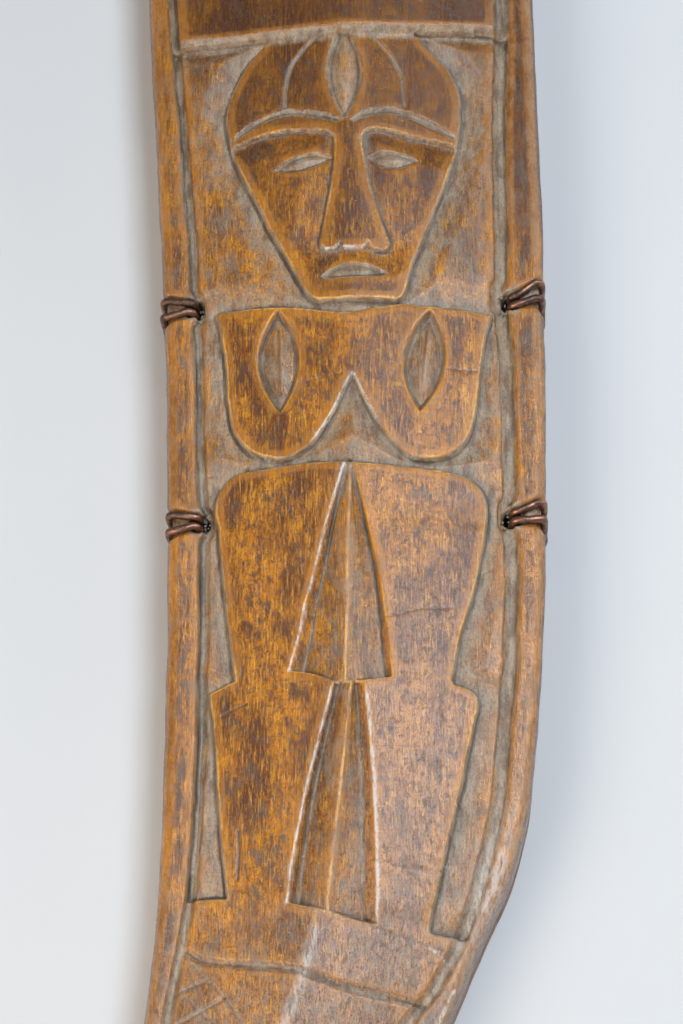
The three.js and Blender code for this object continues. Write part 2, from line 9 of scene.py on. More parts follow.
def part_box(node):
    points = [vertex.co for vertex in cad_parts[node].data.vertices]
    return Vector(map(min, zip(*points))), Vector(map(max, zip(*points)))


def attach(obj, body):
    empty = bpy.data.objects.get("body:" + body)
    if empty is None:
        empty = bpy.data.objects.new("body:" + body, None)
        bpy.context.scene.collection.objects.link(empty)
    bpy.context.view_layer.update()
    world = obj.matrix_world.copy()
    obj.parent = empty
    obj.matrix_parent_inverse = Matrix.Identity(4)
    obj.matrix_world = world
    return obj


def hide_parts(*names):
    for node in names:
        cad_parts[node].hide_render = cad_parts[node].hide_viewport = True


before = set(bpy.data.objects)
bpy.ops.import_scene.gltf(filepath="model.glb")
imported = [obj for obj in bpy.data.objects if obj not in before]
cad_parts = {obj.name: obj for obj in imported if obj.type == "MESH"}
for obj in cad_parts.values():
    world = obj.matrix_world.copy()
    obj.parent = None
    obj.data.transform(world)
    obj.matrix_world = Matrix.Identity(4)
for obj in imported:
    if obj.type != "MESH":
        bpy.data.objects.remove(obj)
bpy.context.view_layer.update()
MM = 0.001


# ---- the frame's own sizes, in millimetres ----
def box_in_mm(node):
    """The low and the high corner of a CAD node's box."""
    return [[v / MM for v in corner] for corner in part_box(node)]


face_low, face_high = box_in_mm("face_board")
back_high = box_in_mm("back_board")[1]
blade_low, blade_high = box_in_mm("blade")
grip_low, grip_high = box_in_mm("grip")
ferrule_low, ferrule_high = box_in_mm("ferrule")
cap_low, cap_high = box_in_mm("butt_cap")
rove_low, rove_high = box_in_mm("tang_rove")
MOUTH = face_high[1]
TOE = face_low[1]
FACE_BACK = face_low[2]
BACK_TOP = back_high[2]
BLADE_MID = (blade_low[2] + blade_high[2]) / 2
SHOULDER = MOUTH - 2.5
BLADE_HALF = 16.0

# ---- the carved board's driving sizes ----
RIM_TOP = 15.0
ROOF_EDGE = 15.2
ROOF_RISE = 5.8
PANEL_RISE = 1.2
PANEL_FOOT = 93.5
POCKET_HALF = 18.3
POCKET_END = -92.6
POCKET_TOP = 10.4
POCKET_TIP = 11.0  # its right side at its end, where the board's edge turns in
POCKET_FULL = -76.0  # y from where it has its full width
HOLE_R = 1.9
WIRE_RADIUS = 0.7
TOE_ROUND = 13.0
GROOVE_SLOPE = 0.45  # the run of each wall of the rims' grooves
LATTICE_PITCH = 7.0
FAR = 99.0  # stands for a distance beyond reach
FINE = 0.25  # smallest cell of the carved surface
GRID_WIDTH = 66.0  # the board's usual width, which sets the number of columns
SIDE_STEPS = 5  # rows of faces down a board's sides

LEFT_EDGE = [(-172, -53), (-150, -46.5), (-120, -38.8), (-88, -32.9), (-60, -30.8), (-25, -30.4),
             (14, -31.2), (57, -33.4), (106, -36.8), (145, -39), (180, -40)]
RIGHT_EDGE = [(-172, -31), (-150, -17), (-120, 1), (-88, 17.3), (-78, 21.8), (-61, 29.3), (-44, 32.5),
              (-15, 34.9), (13, 35.8), (56, 36.2), (103, 35.7), (145, 34.8), (180, 34)]
LEFT_RIM = [(-172, 3.4), (-120, 4), (-88, 4.1), (-73, 5.2), (-57, 6), (-10, 6.4), (14, 6.1), (52, 5.9),
            (83, 5.1), (104, 4.7), (180, 4.7)]
RIGHT_RIM = [(-172, 3.4), (-120, 4.6), (-98, 6.6), (-89, 6.2), (-83, 4.2), (-75, 3.4), (-62, 4.8),
             (-46, 5.2), (-20, 5.5), (17, 6.5), (50, 7.5), (80, 6.8), (103, 5.7), (180, 5.6)]
RIDGE = [(-172, -42), (-120, -19.5), (-90, -10), (-80, -6.6), (-72, -4.3), (-58, -1), (-31, 1), (8, 1.7),
         (60, 2.2), (180, -2.5)]
# level name, y, lean of the right loop, distance of the hole from the edge
LASHINGS = [("mouth", 166, 1.5, 5.6), ("shoulder", 120, 1.5, 5.8), ("upper", 40.6, 2, 5.9),
            ("lower", -0.6, 1, 5.7), ("toe", -128, 1, 4.6)]


# ---- curves and noise ----
def smooth(knots, t):
    """A smooth value at t through (t, value) knots in rising order."""
    t = np.asarray(t, float)
    ks, vs = np.array(knots, float).T
    slopes = np.empty_like(vs)
    slopes[1:-1] = (vs[2:] - vs[:-2]) / (ks[2:] - ks[:-2])
    slopes[0] = (vs[1] - vs[0]) / (ks[1] - ks[0])
    slopes[-1] = (vs[-1] - vs[-2]) / (ks[-1] - ks[-2])
    i = np.clip(np.searchsorted(ks, t) - 1, 0, len(ks) - 2)
    span = ks[i + 1] - ks[i]
    u = np.clip((t - ks[i]) / span, 0, 1)
    start = vs[i] * (2 * u**3 - 3 * u**2 + 1) + slopes[i] * span * (u**3 - 2 * u**2 + u)
    return start + vs[i + 1] * (3 * u**2 - 2 * u**3) + slopes[i + 1] * span * (u**3 - u**2)


def bend(points, spacing=0.8):
    """Points on a smooth plane curve through a few points."""
    p = np.array(points, float)
    padded = np.vstack([2 * p[0] - p[1], p, 2 * p[-1] - p[-2]])
    out = []
    for i in range(1, len(padded) - 2):
        a, b, c, d = padded[i - 1:i + 3]
        steps = max(int(np.hypot(*(c - b)) / spacing), 1)
        for s in np.arange(steps) / steps:
            out.append(0.5 * (2 * b + (c - a) * s + (2 * a - 5 * b + 4 * c - d) * s**2
                              + (3 * b - a - 3 * c + d) * s**3))
    out.append(p[-1])
    return np.array(out)


def joined(*runs):
    """One outline from runs of points."""
    return np.vstack([np.array(r, float) for r in runs])


def leaf(top, bottom, left, right):
    """A pointed leaf between two tips, with the x of its belly on each side."""
    t = np.linspace(0, 1, 25)[:, None]
    spine = np.array(top) + (np.array(bottom) - np.array(top)) * t
    swell = np.sin(np.pi * t) ** 0.85
    middle = (top[0] + bottom[0]) / 2
    down = spine + swell * np.array([right - middle, 0])
    up = spine + swell * np.array([left - middle, 0])
    return joined(down, up[::-1][1:-1])


def ease(low, high, v):
    """0 below low, 1 above high, smooth between."""
    u = np.clip((np.asarray(v, float) - low) / (high - low), 0, 1)
    return u * u * (3 - 2 * u)


def wave(x, y, size_x, size_y, seed):
    """Smooth noise from -1 to 1 with bumps about size_x by size_y millimetres."""
    table = np.random.default_rng(seed).uniform(-1, 1, (64, 64))
    u = x / size_x + 17.3
    v = y / size_y + 29.1
    iu = np.floor(u).astype(int)
    iv = np.floor(v).astype(int)
    fu = u - iu
    fv = v - iv
    fu = fu * fu * (3 - 2 * fu)
    fv = fv * fv * (3 - 2 * fv)
    at = lambda a, b: table[a % 64, b % 64]
    low = at(iu, iv) * (1 - fu) + at(iu + 1, iv) * fu
    high = at(iu, iv + 1) * (1 - fu) + at(iu + 1, iv + 1) * fu
    return low * (1 - fv) + high * fv


def nearest(points, line, closed):
    """Distance from each point to a line of points, and the nearest spot on it."""
    ends = np.roll(line, -1, axis=0) if closed else line[1:]
    starts = line if closed else line[:-1]
    best = np.full(len(points), 1e9)
    spot = np.zeros_like(points)
    for a, b in zip(starts, ends):
        edge = b - a
        length = edge @ edge
        if length < 1e-9:
            continue
        t = np.clip(((points - a) @ edge) / length, 0, 1)
        q = a + t[:, None] * edge
        d = np.hypot(points[:, 0] - q[:, 0], points[:, 1] - q[:, 1])
        closer = d < best
        best[closer] = d[closer]
        spot[closer] = q[closer]
    return best, spot


def inside(points, outline):
    """True for each point within a closed outline."""
    x, y = points.T
    odd = np.zeros(len(points), bool)
    for (x0, y0), (x1, y1) in zip(outline, np.roll(outline, -1, axis=0)):
        if y0 == y1:
            continue
        crosses = (y0 > y) != (y1 > y)
        odd ^= crosses & (x < (x1 - x0) * (y - y0) / (y1 - y0) + x0)
    return odd


# ---- the figure's outlines ----
HEAD = joined(
    bend([(-11, 95.5), (-14.6, 91.2), (-18.4, 86.4), (-20.9, 79.5), (-20.5, 74), (-18.6, 67.3), (-15, 59.5),
          (-12.5, 53.8), (-8.9, 46.8), (-6.6, 42.2), (-5.4, 40.3), (-3.8, 39.3)]),
    bend([(9.9, 39.2), (11.2, 40.4), (12.6, 46.3), (16.1, 55.4), (18.6, 62.6), (20.4, 69), (21.6, 76.2),
          (21.3, 82), (19.3, 86.8), (16.3, 90), (12, 95.5)]))
NOSE_BOTTOM = [(-3.6, 50.8), (-3.4, 49.9), (-2.8, 49.3), (-1.0, 49.2), (-0.4, 49.7), (0.15, 50.9),
               (0.6, 49.5), (1.0, 49.3), (4.0, 49.3), (4.6, 49.8), (5.0, 50.6), (5.5, 49.4), (6.2, 48.9),
               (7.6, 48.7), (8.3, 49.2), (8.6, 50.3)]
BROW_NOSE = joined(
    bend([(-26, 70.4), (-19.6, 71.8), (-15.2, 73.3), (-10.5, 73.9), (-5, 73.5), (-2.2, 72.9), (-1.1, 71.8),
          (-1.0, 68), (-1.6, 62), (-2.6, 56), (-3.6, 50.8)]),
    NOSE_BOTTOM[1:],
    bend([(8.6, 50.3), (7.0, 55), (5.1, 62), (4.1, 68), (3.9, 71.6), (5.2, 73.1), (8, 73.2), (14, 71.9),
          (20.2, 70.9), (27, 68.6)])[1:])
CHEEKS = joined(BROW_NOSE, [(27, 39.2), (-26, 39.2)])
BROWS = [
    joined(bend([(-19.4, 73.9), (-17.4, 75.5), (-14.1, 77.2), (-10.2, 78), (-5, 77.2), (-2, 76.2),
                 (0.5, 74.9)]),
           bend([(-0.4, 74.4), (-4.8, 75.8), (-10.2, 76.7), (-15, 75.3), (-18, 73.7), (-19.6, 72.9)])),
    joined(bend([(1.8, 74.8), (4.4, 76.5), (9, 77.5), (14.3, 76.3), (18.2, 74.4), (21, 72.6)]),
           bend([(20.4, 71.9), (16.8, 73.5), (13.6, 75), (9, 76.3), (4.8, 75.4), (2.4, 74.3)]))]
EYES = [joined(bend([(-12.4, 65.7), (-9.6, 67.7), (-6.2, 68.7), (-3.2, 68.5), (-0.9, 67.6)]),
               bend([(-0.9, 67.5), (-3.6, 66.2), (-7, 65.1), (-10, 65)])),
        joined(bend([(4.7, 67.5), (7, 68.5), (9.2, 68.7), (12, 68.2), (14.4, 67.2)]),
               bend([(14.4, 67.1), (12, 65.6), (9.4, 64.9), (6.8, 65.6)]))]
MOUTH_CUT = joined(bend([(-3.5, 43.8), (-0.9, 45.5), (2, 46.2), (5.4, 45.7), (8.2, 44.4)]),
                   bend([(7.7, 43.7), (2.5, 43.2), (-2.6, 43.2)]))
BROW_LEAF = joined(bend([(-0.6, 93.4), (-2.3, 88.5), (-2.6, 83.5), (-1.4, 78.6), (0.3, 75.2)]),
                   bend([(1.3, 75.2), (3, 78.8), (4.1, 83.5), (3.7, 88.5), (2.0, 93.4)]))
HAIR = [bend([(-3.6, 93), (-6.5, 90.3), (-9, 86.8), (-10.1, 82.5), (-10.2, 78.6)]),
        bend([(5.9, 91.9), (8.8, 88.6), (11.2, 83.9), (11.9, 78)])]
ARMS = joined(
    bend([(-22.4, 38.7), (-21.3, 34), (-20.4, 28), (-20, 21.5), (-19, 16.2), (-17, 12.8), (-13.8, 10.5),
          (-10.2, 9.7), (-7.4, 10.4), (-4.6, 12.6), (-1.8, 17), (0.6, 22), (1.9, 24.6)]),
    bend([(2.5, 24.4), (4, 20.8), (6.2, 16.4), (8.8, 12.6), (11.8, 9.8), (15, 9.2), (18.6, 10),
          (21.3, 12.4), (23.2, 17.4), (24.4, 26), (25.4, 32.6), (26.5, 37.5)]),
    bend([(26.5, 37.6), (17, 38.2), (11, 38.3), (6.5, 37.4), (1.8, 36.3), (-3.5, 37.2), (-7, 38),
          (-13, 38.8), (-18, 38.9), (-22.4, 38.8)])[1:])
LEAVES = [leaf((-11.3, 38.4), (-10.7, 18.1), -14.9, -7.2), leaf((15.8, 37.8), (13.8, 17.7), 10.9, 18.5)]
LEGS = joined(
    bend([(-21.4, -2), (-22.1, 1.2), (-21.4, 4.6), (-18.8, 7.2), (-15, 7.9)]),
    bend([(-12, 8), (-6, 8.2), (0.4, 8.0)]), bend([(2.3, 7.9), (8.2, 7.5), (14, 7.2)]),
    bend([(17, 7), (21.6, 6), (24.4, 3.6), (25.1, 0), (24.6, -5)]),
    bend([(24.6, -5), (22.6, -14.8), (20.4, -22.5), (18.6, -31.0)]),
    bend([(18.9, -31.8), (21.6, -32.6), (23.0, -33.9), (22.9, -36)]),
    bend([(22, -39.5), (20.6, -46.3), (18.6, -55), (16, -65.5), (14.3, -73.4)]),
    [(14.5, -74.2), (40, -78.5), (40, -104), (-60, -104), (-60, -67.2)],
    [(-18.9, -68.2)], bend([(-18.9, -68), (-20, -59), (-20.7, -51), (-21.3, -42), (-22.5, -32.2)]),
    bend([(-18.0, -30.4), (-19.3, -21), (-20.5, -11.8), (-21.4, -2)]))
# Each gap between the legs: its left edge, right edge and foot from top to bottom, then at the top and the
# bottom the run of its left wall, the ridge's x and the run of its right wall
LEG_GAPS = [
    (bend([(1.1, 8.9), (-0.5, 3.8), (-2.6, -3.6), (-4.2, -10.5), (-5.6, -15.6), (-6.4, -18.5), (-7.2, -23),
           (-8.9, -29.4)]),
     bend([(1.9, 8.9), (4.9, -3.5), (7, -14.5), (8.9, -30.9)]),
     joined(bend([(-8.9, -29.4), (-6.6, -29.8), (-4, -30.6), (-0.9, -32.2)]), [(3.2, -31.8), (8.9, -30.9)]),
     (0.4, 1.7, 0.3), (2.5, 0.8, 1.4)),
    (bend([(-1.1, -32.0), (-2.9, -38.9), (-4.9, -46.6), (-6.9, -56.1), (-8.2, -63.5), (-8.9, -69.5)]),
     bend([(4.1, -31.8), (4.9, -40.4), (5.5, -50), (5.9, -61.8), (6.0, -73.2)]),
     np.array([(-8.9, -69.5), (-4, -70.8), (0.6, -71.9), (6.0, -73.2)], float), (0.7, 1.9, 1.5),
     (1.9, -2.1, 2.4))]
# Open lines: (points, half width, depth). Dirt fills the grooves; scratches are later damage.
GROOVES = [
    (bend([(-25.6, -76.6), (-22.6, -78.4), (-15, -79.6), (-7.8, -80.6), (-3, -82), (0.2, -83.2),
           (7.1, -84.6), (13.4, -85.9)]), 0.9, 0.75),
    (np.array([(-24.6, -78.6), (-18.6, -85.4), (-14, -91.5)]), 0.45, 0.35),
    (np.array([(-27.5, -83.6), (-22.3, -81.6)]), 0.45, 0.35),
    (np.array([(-25.9, -84), (-19.6, -89.9), (-15.5, -95)]), 0.45, 0.35),
    (np.array([(-28.2, -89.2), (-18.9, -84.6)]), 0.45, 0.35),
    (np.array([(-24.4, 8.0), (-22.2, 7.9)]), 0.3, 0.25), (np.array([(26, 4.7), (28.4, 4.4)]), 0.3, 0.25)]
SCRATCHES = [
    ([(-17.3, -56.7), (-17.0, -60), (-17.2, -65)], 0.35, 0.3),
    ([(-20.4, -36.3), (-16, -34.6)], 0.3, 0.18), ([(-19.6, -31.8), (-19.7, -35)], 0.35, 0.12),
    ([(-17, -47.8), (-17.1, -49.5)], 0.25, 0.15), ([(7.8, -20.3), (13, -18.7), (19.2, -18)], 0.3, 0.12),
    ([(9.5, -28.3), (12.8, -27.6)], 0.2, 0.08), ([(9.6, -30.1), (13.6, -29.9)], 0.2, 0.08),
    ([(10, -31.2), (13.2, -31)], 0.2, 0.08), ([(-6.2, 23.6), (-3, 24.2), (0.4, 24.6)], 0.25, 0.12),
    ([(18.5, 26.4), (24, 26.3)], 0.25, 0.12), ([(-8.2, 16.2), (-7.4, 13.8), (-6.8, 11.8)], 0.22, 0.16),
    ([(13.6, 11.8), (13.6, 9.6)], 0.25, 0.18), ([(5.3, -62.3), (10, -63.4), (13.8, -63.6)], 0.35, 0.1),
    ([(-14.2, -13.4), (-14.1, -16)], 0.25, 0.12), ([(-11.2, 34.5), (-10.9, 28), (-10.8, 22)], 0.3, 0.2),
    ([(15.2, 34), (14.6, 28), (14.1, 21.6)], 0.3, 0.2), ([(5, -73.4), (10, -75), (16.6, -77)], 0.4, 0.08),
    ([(11, -56), (15.6, -55.8)], 0.35, 0.06), ([(-16.5, 66), (-16, 60)], 0.2, 0.05)]


# ---- the board's surface ----
def nicked(y, side):
    """How far the wires' nicks bite into an edge."""
    bite = 0
    for _, level, lean, _ in LASHINGS:
        middle = level + (lean / 2 if side > 0 else 0)
        bite = bite + 0.85 * np.exp(-np.abs((y - middle) / 2.9) ** 5)
    return bite


def edges(y, nicks=True):
    """The board's left and right x at each y, with a knife's waviness and, at will, the wires' nicks."""
    left = smooth(LEFT_EDGE, y)
    right = smooth(RIGHT_EDGE, y)
    into = np.clip((TOE + TOE_ROUND - y) / TOE_ROUND, 0, 1)
    keep = np.sqrt(1 - 0.68 * into * into)
    middle = (left + right) / 2
    left = middle + (left - middle) * keep
    right = middle + (right - middle) * keep
    left = left + 0.16 * wave(y, y * 0, 9, 5, 3) + 0.07 * wave(y, y * 0, 2.6, 5, 4)
    right = right + 0.16 * wave(y, y * 0, 8, 5, 5) + 0.07 * wave(y, y * 0, 2.9, 5, 6)
    if nicks:
        left = left + nicked(y, -1)
        right = right - nicked(y, 1)
    return left, right


def lashing_spots():
    """(name, side, edge x, hole x, y, y at the edge) for each wire loop."""
    spots = []
    for name, y, lean, inset in LASHINGS:
        ends = edges(np.array([float(y)]), nicks=False)
        for side in (-1, 1):
            edge = float(ends[0 if side < 0 else 1][0])
            spots.append((f"{name}_lashing_{'left' if side < 0 else 'right'}", side, edge,
                          edge - side * inset, y,
                          y + (lean if side > 0 else 0)))
    return spots


SPOTS = lashing_spots()


def cut_profile(d, run, depth, slope, least):
    """Depth of a chip-cut wall that falls over run, then a floor that rises again with distance."""
    wall = np.clip(d / run, 0, 1) * depth
    floor = np.maximum(depth - slope * (d - run), least)
    return np.where(d < run, np.minimum(wall, depth), floor)


class Surface:
    """Points in the board's plane and their distances to the carving's lines."""

    def __init__(self, x, y):
        self.x = x.astype(float)
        self.y = y.astype(float)
        self.spots = {}

    def distance(self, name, line, closed, reach=9.0):
        """Distance to a line, negative inside a closed one and FAR beyond reach."""
        low = line.min(axis=0) - reach
        high = line.max(axis=0) + reach
        near = (self.x > low[0]) & (self.x < high[0]) & (self.y > low[1]) & (self.y < high[1])
        d = np.full(self.x.shape, FAR)
        spots = np.zeros(self.x.shape + (2,))
        pts = np.stack([self.x[near], self.y[near]], axis=1)
        dist, spot = nearest(pts, line, closed)
        if closed:
            dist = np.where(inside(pts, line), -dist, dist)
        d[near] = dist
        spots[near] = spot
        self.spots[name] = spots
        return d

    def figure_distances(self):
        """Distances to all of the figure's outlines, by name."""
        d = {name: self.distance(name, line, True) for name, line in OUTLINES.items()}
        d["brow_nose"] = self.distance("brow_nose", BROW_NOSE, False)
        return d


def rim_height(inset, rim, half_groove):
    """The rim from the board's edge inwards: a rounded edge, a flat top and a groove at its foot."""
    round_edge = [0 * rim + step for step in (0, 0.35, 0.9, 1.7, 2.6)]
    groove = [rim - half_groove - GROOVE_SLOPE, rim - half_groove * 0.5,
              rim + half_groove * 0.4, rim + half_groove + GROOVE_SLOPE]
    stops = round_edge + groove
    heights = [12.6, 13.8, 14.55, 14.95, 15.0, 15.0, 14.2, 14.2, ROOF_EDGE - 0.05]
    z = np.full(inset.shape, heights[0])
    for a, b, h0, h1 in zip(stops, stops[1:], heights, heights[1:]):
        u = np.clip((inset - a) / np.maximum(b - a, 1e-3), 0, 1)
        z = np.where(inset >= a, h0 + (h1 - h0) * u, z)
    return z


def roof_height(x, y, left, right, rim_l, rim_r):
    """The field between the rims: two slopes that meet in a ridge, rounded above the toe."""
    ridge = smooth(RIDGE, y)
    foot_l = left + rim_l + 1
    foot_r = right - rim_r - 1
    share = np.where(x < ridge, (ridge - x) / (ridge - foot_l), (x - ridge) / (foot_r - ridge))
    share = np.clip(share, 0, 1)
    soft = 0.05 * ease(-73, -69, y) + 0.004
    share = np.sqrt(share * share + soft * soft) - soft
    shrink = np.minimum((right - left) / 55, 1)
    return ROOF_EDGE + ROOF_RISE * shrink * (1 - share ** 1.1)


def gap_outline(gap):
    """The closed outline of a gap between the legs."""
    left, right, foot = gap[:3]
    return joined(left, foot[1:], right[::-1][1:])


OUTLINES = {"head": HEAD, "arms": ARMS, "legs": LEGS, "leaf0": LEAVES[0], "leaf1": LEAVES[1],
            "gap0": gap_outline(LEG_GAPS[0]), "gap1": gap_outline(LEG_GAPS[1]), "eye0": EYES[0],
            "eye1": EYES[1], "mouth": MOUTH_CUT, "brow_leaf": BROW_LEAF, "brow0": BROWS[0],
            "brow1": BROWS[1]}
# How far from each outline its sharp lines run
SHARP_LINES = {"head": (0, 0.5), "arms": (0, 0.45), "legs": (0, 0.45), "leaf0": (0, -0.9),
               "leaf1": (0, -0.9),
               "gap0": (0, -1.7), "gap1": (0, -1.5), "brow_nose": (0, 0.4), "eye0": (0,), "eye1": (0,),
               "mouth": (0,), "brow_leaf": (0,), "brow0": (0,), "brow1": (0,)}


def snapped(x, y):
    """The points, with those beside a sharp line of the carving moved on to it."""
    s = Surface(x, y)
    d = s.figure_distances()
    x, y = s.x.copy(), s.y.copy()
    free = np.ones(x.shape, bool)
    for name, lines in SHARP_LINES.items():
        dist = d[name]
        spots = s.spots[name]
        away = np.stack([s.x, s.y], axis=-1) - spots
        length = np.maximum(np.hypot(away[..., 0], away[..., 1]), 1e-9)
        for line in lines:
            hit = free & (np.abs(dist - line) < 0.5 * FINE) & (np.abs(dist) < 50)
            target = spots + away * np.abs(line / length)[..., None]
            x = np.where(hit, target[..., 0], x)
            y = np.where(hit, target[..., 1], y)
            free &= ~hit
    return x, y


class Carving:
    """The carved side over a grid of points: height z, dirt, rubbed edges in wear, and scratches."""

    def __init__(self, x, y):
        self.x, self.y = x, y
        self.surface = Surface(x, y)
        self.jitter = 0.09 * wave(x, y, 3.1, 3.7, 11) + 0.05 * wave(x, y, 1.1, 1.4, 12)
        self.d = self.surface.figure_distances()
        self.rims_and_roof()
        self.panel()
        self.ground()
        self.leg_gap("gap0", LEG_GAPS[0])
        self.leg_gap("gap1", LEG_GAPS[1])
        self.hollow("leaf0", 0.8, 1.5, 0.42, 0.2, 0.6, 0.5)
        self.hollow("leaf1", 0.8, 1.5, 0.42, 0.2, 0.6, 0.5)
        self.face()
        self.incised_lines()
        self.lattice()
        self.wire_seats()
        self.z = self.z - 0.6 * ease(MOUTH - 1.2, MOUTH, y) - 1.4 * ease(TOE + 2.5, TOE, y)
        self.settled_dirt()

    def soil(self, amount):
        """Makes the surface at least this dirty."""
        self.dirt = np.maximum(self.dirt, amount)

    def rims_and_roof(self):
        x, y = self.x, self.y
        left, right = edges(y)
        rim_l = smooth(LEFT_RIM, y) + 0.12 * wave(x * 0, y, 5, 11, 21)
        rim_r = smooth(RIGHT_RIM, y) + 0.15 * wave(x * 0, y, 5, 9, 22)
        self.inset = np.minimum(x - left, right - x)
        on_left = x - left < right - x
        self.rim = np.where(on_left, rim_l, rim_r)
        self.half_groove = np.minimum(np.where(on_left, 0.65, 1.1), self.rim * 0.3)
        rims = rim_height(self.inset, self.rim, self.half_groove)
        past_groove = self.rim + self.half_groove + GROOVE_SLOPE
        z = np.where(self.inset < past_groove, rims, roof_height(x, y, left, right, rim_l, rim_r))
        self.z = z + 0.07 * wave(x, y, 7, 16, 31) + 0.03 * wave(x, y, 2.2, 6, 32)
        self.in_field = self.inset > self.rim + self.half_groove + 0.3

    def panel(self):
        """The smooth panel above the figure and the step at its foot."""
        x, y = self.x, self.y
        field = ease(0, 0.5, self.inset - self.rim - self.half_groove)
        foot = PANEL_FOOT + 0.02 * x + 0.35 * wave(x, y * 0, 9, 9, 41)
        self.foot = foot = foot - 0.7 * np.exp(-((x - 1) / 14) ** 2)
        panel = ease(foot - 0.6, foot + 1.6, y) * field
        self.z = self.z + panel * PANEL_RISE
        # a pale band of dirt on the step's slope, which also serves as a painted highlight where the step
        # catches the light
        self.dirt = 0.95 * np.clip(4 * panel * (1 - panel), 0, 1) ** 0.6 * (field > 0.5)
        self.soil(0.85 * np.exp(-((y - foot + 0.6) / 0.8) ** 2) * field)

    def ground(self):
        """The ground behind the figure, cut deepest beside it."""
        y, d = self.y, self.d
        below_panel = (y < self.foot + 2.5) & (self.inset > self.rim - self.half_groove)
        below_step = 1 - ease(self.foot - 1.2, self.foot + 0.4, y)
        figure = np.minimum(np.minimum(d["head"], d["arms"]), d["legs"]) + self.jitter
        out = np.maximum(figure, 0)
        ground = cut_profile(out, 0.5, 1.75, 0.3, 0.35) * (figure > 0) * below_panel * below_step
        ledge = np.clip(self.foot - 0.6 - y, 0, 9)
        near_step = np.maximum(1.2 - 0.3 * ledge, 0) * (y < self.foot) * below_panel * (figure > 0)
        ground = np.maximum(ground, near_step)
        rolled = np.clip(1 + np.minimum(figure, 0) / 0.5, 0, 1) * (figure <= 0)
        self.z = self.z - ground - 0.1 * rolled**2 * below_panel * below_step
        halo = 0.62 * np.exp(-(out / 2.8) ** 1.3) + 0.34 * (figure > 0)
        self.soil(halo * (figure > -0.15) * below_panel * below_step)
        near_edge = np.clip(np.abs(figure + 0.1), 0, 5)
        self.wear = np.exp(-(near_edge / 0.22) ** 2) * below_panel * (y > -74) * (1 - ease(70, 76, y))

    def hollow(self, name, run, depth, slope, least, worn, film, line=0.9):
        """Cuts a closed shape in: film is the dirt all over it, line the dirt at its walls' feet."""
        into = -(self.d[name] + self.jitter * 0.8)
        within = into > 0
        cut = cut_profile(into, run, depth, slope, least) * within
        edge = np.clip(1 - np.abs(np.minimum(into, 0)) / 0.4, 0, 1) * ~within
        self.z = self.z - cut - 0.08 * edge**2
        settled = np.maximum(film, line * np.exp(-((into - run) / 0.5) ** 2))
        self.dirt = np.where(within, settled, self.dirt)
        near_edge = np.clip(np.abs(into + 0.12), 0, 5)
        self.wear = np.maximum(self.wear, worn * np.exp(-(near_edge / 0.28) ** 2))
        self.wear = np.where(into > 0.5, 0, self.wear)

    def leg_gap(self, name, gap):
        """Cuts a gap between the legs: steep walls and a floor that rises to a long ridge."""
        left_line, right_line, foot_line, top, bottom = gap
        y, jitter = self.y, self.jitter * 0.6
        within = self.d[name] + jitter < 0
        share = np.clip((left_line[0, 1] - y) / (left_line[0, 1] - left_line[-1, 1]), 0, 1)
        run_l, ridge_x, run_r = [t + (b - t) * share for t, b in zip(top, bottom)]
        edge_l = np.interp(y, left_line[::-1, 1], left_line[::-1, 0])
        edge_r = np.interp(y, right_line[::-1, 1], right_line[::-1, 0])
        at = self.x + jitter
        foot_l, foot_r = edge_l + run_l, edge_r - run_r
        deep = 2.3 * np.clip((edge_r - edge_l) / 7, 0.25, 1)
        rise_l = (at - foot_l) / np.maximum(ridge_x - foot_l, 0.1)
        rise_r = (foot_r - at) / np.maximum(foot_r - ridge_x, 0.1)
        u = np.clip(np.where(at < ridge_x, rise_l, rise_r), 0, 1)
        swell = 0.25 * np.sin(np.pi * u) * (at < ridge_x) - 0.12 * np.sin(np.pi * u)
        floor = deep - (deep - 0.12) * (u + swell)
        foot_d = np.where(within, self.surface.distance(name + "_foot", foot_line, False), 9)
        walls = np.minimum(np.minimum((at - edge_l) / run_l, (edge_r - at) / run_r), foot_d / 0.35)
        cut = floor * np.clip(walls, 0, 1) * within
        rim_round = np.clip(1 - np.abs(np.maximum(self.d[name] + jitter, 0)) / 0.4, 0, 1) * ~within
        self.z = self.z - cut - 0.08 * rim_round**2
        valley = np.maximum(np.exp(-((at - foot_l) / 0.45) ** 2), np.exp(-((at - foot_r) / 0.4) ** 2))
        valley = np.maximum(valley, 0.9 * np.exp(-(foot_d / 0.6) ** 2))
        # a grey film on the gap's floor, thinner on its walls: settled dust, and in part a painted sheen
        gap_dust_and_sheen = np.where(np.minimum(at - foot_l, foot_r - at) < 0, 0.16, 0.42)
        self.dirt = np.where(within, np.maximum(0.85 * valley, gap_dust_and_sheen), self.dirt)
        crest = np.exp(-((at - ridge_x) / 0.22) ** 2) * (cut > 0.02) * within
        edge_wear = 0.8 * np.exp(-(np.abs(self.d[name]) / 0.25) ** 2)
        self.wear = np.maximum(np.where(within, 0, self.wear), np.maximum(crest, edge_wear))

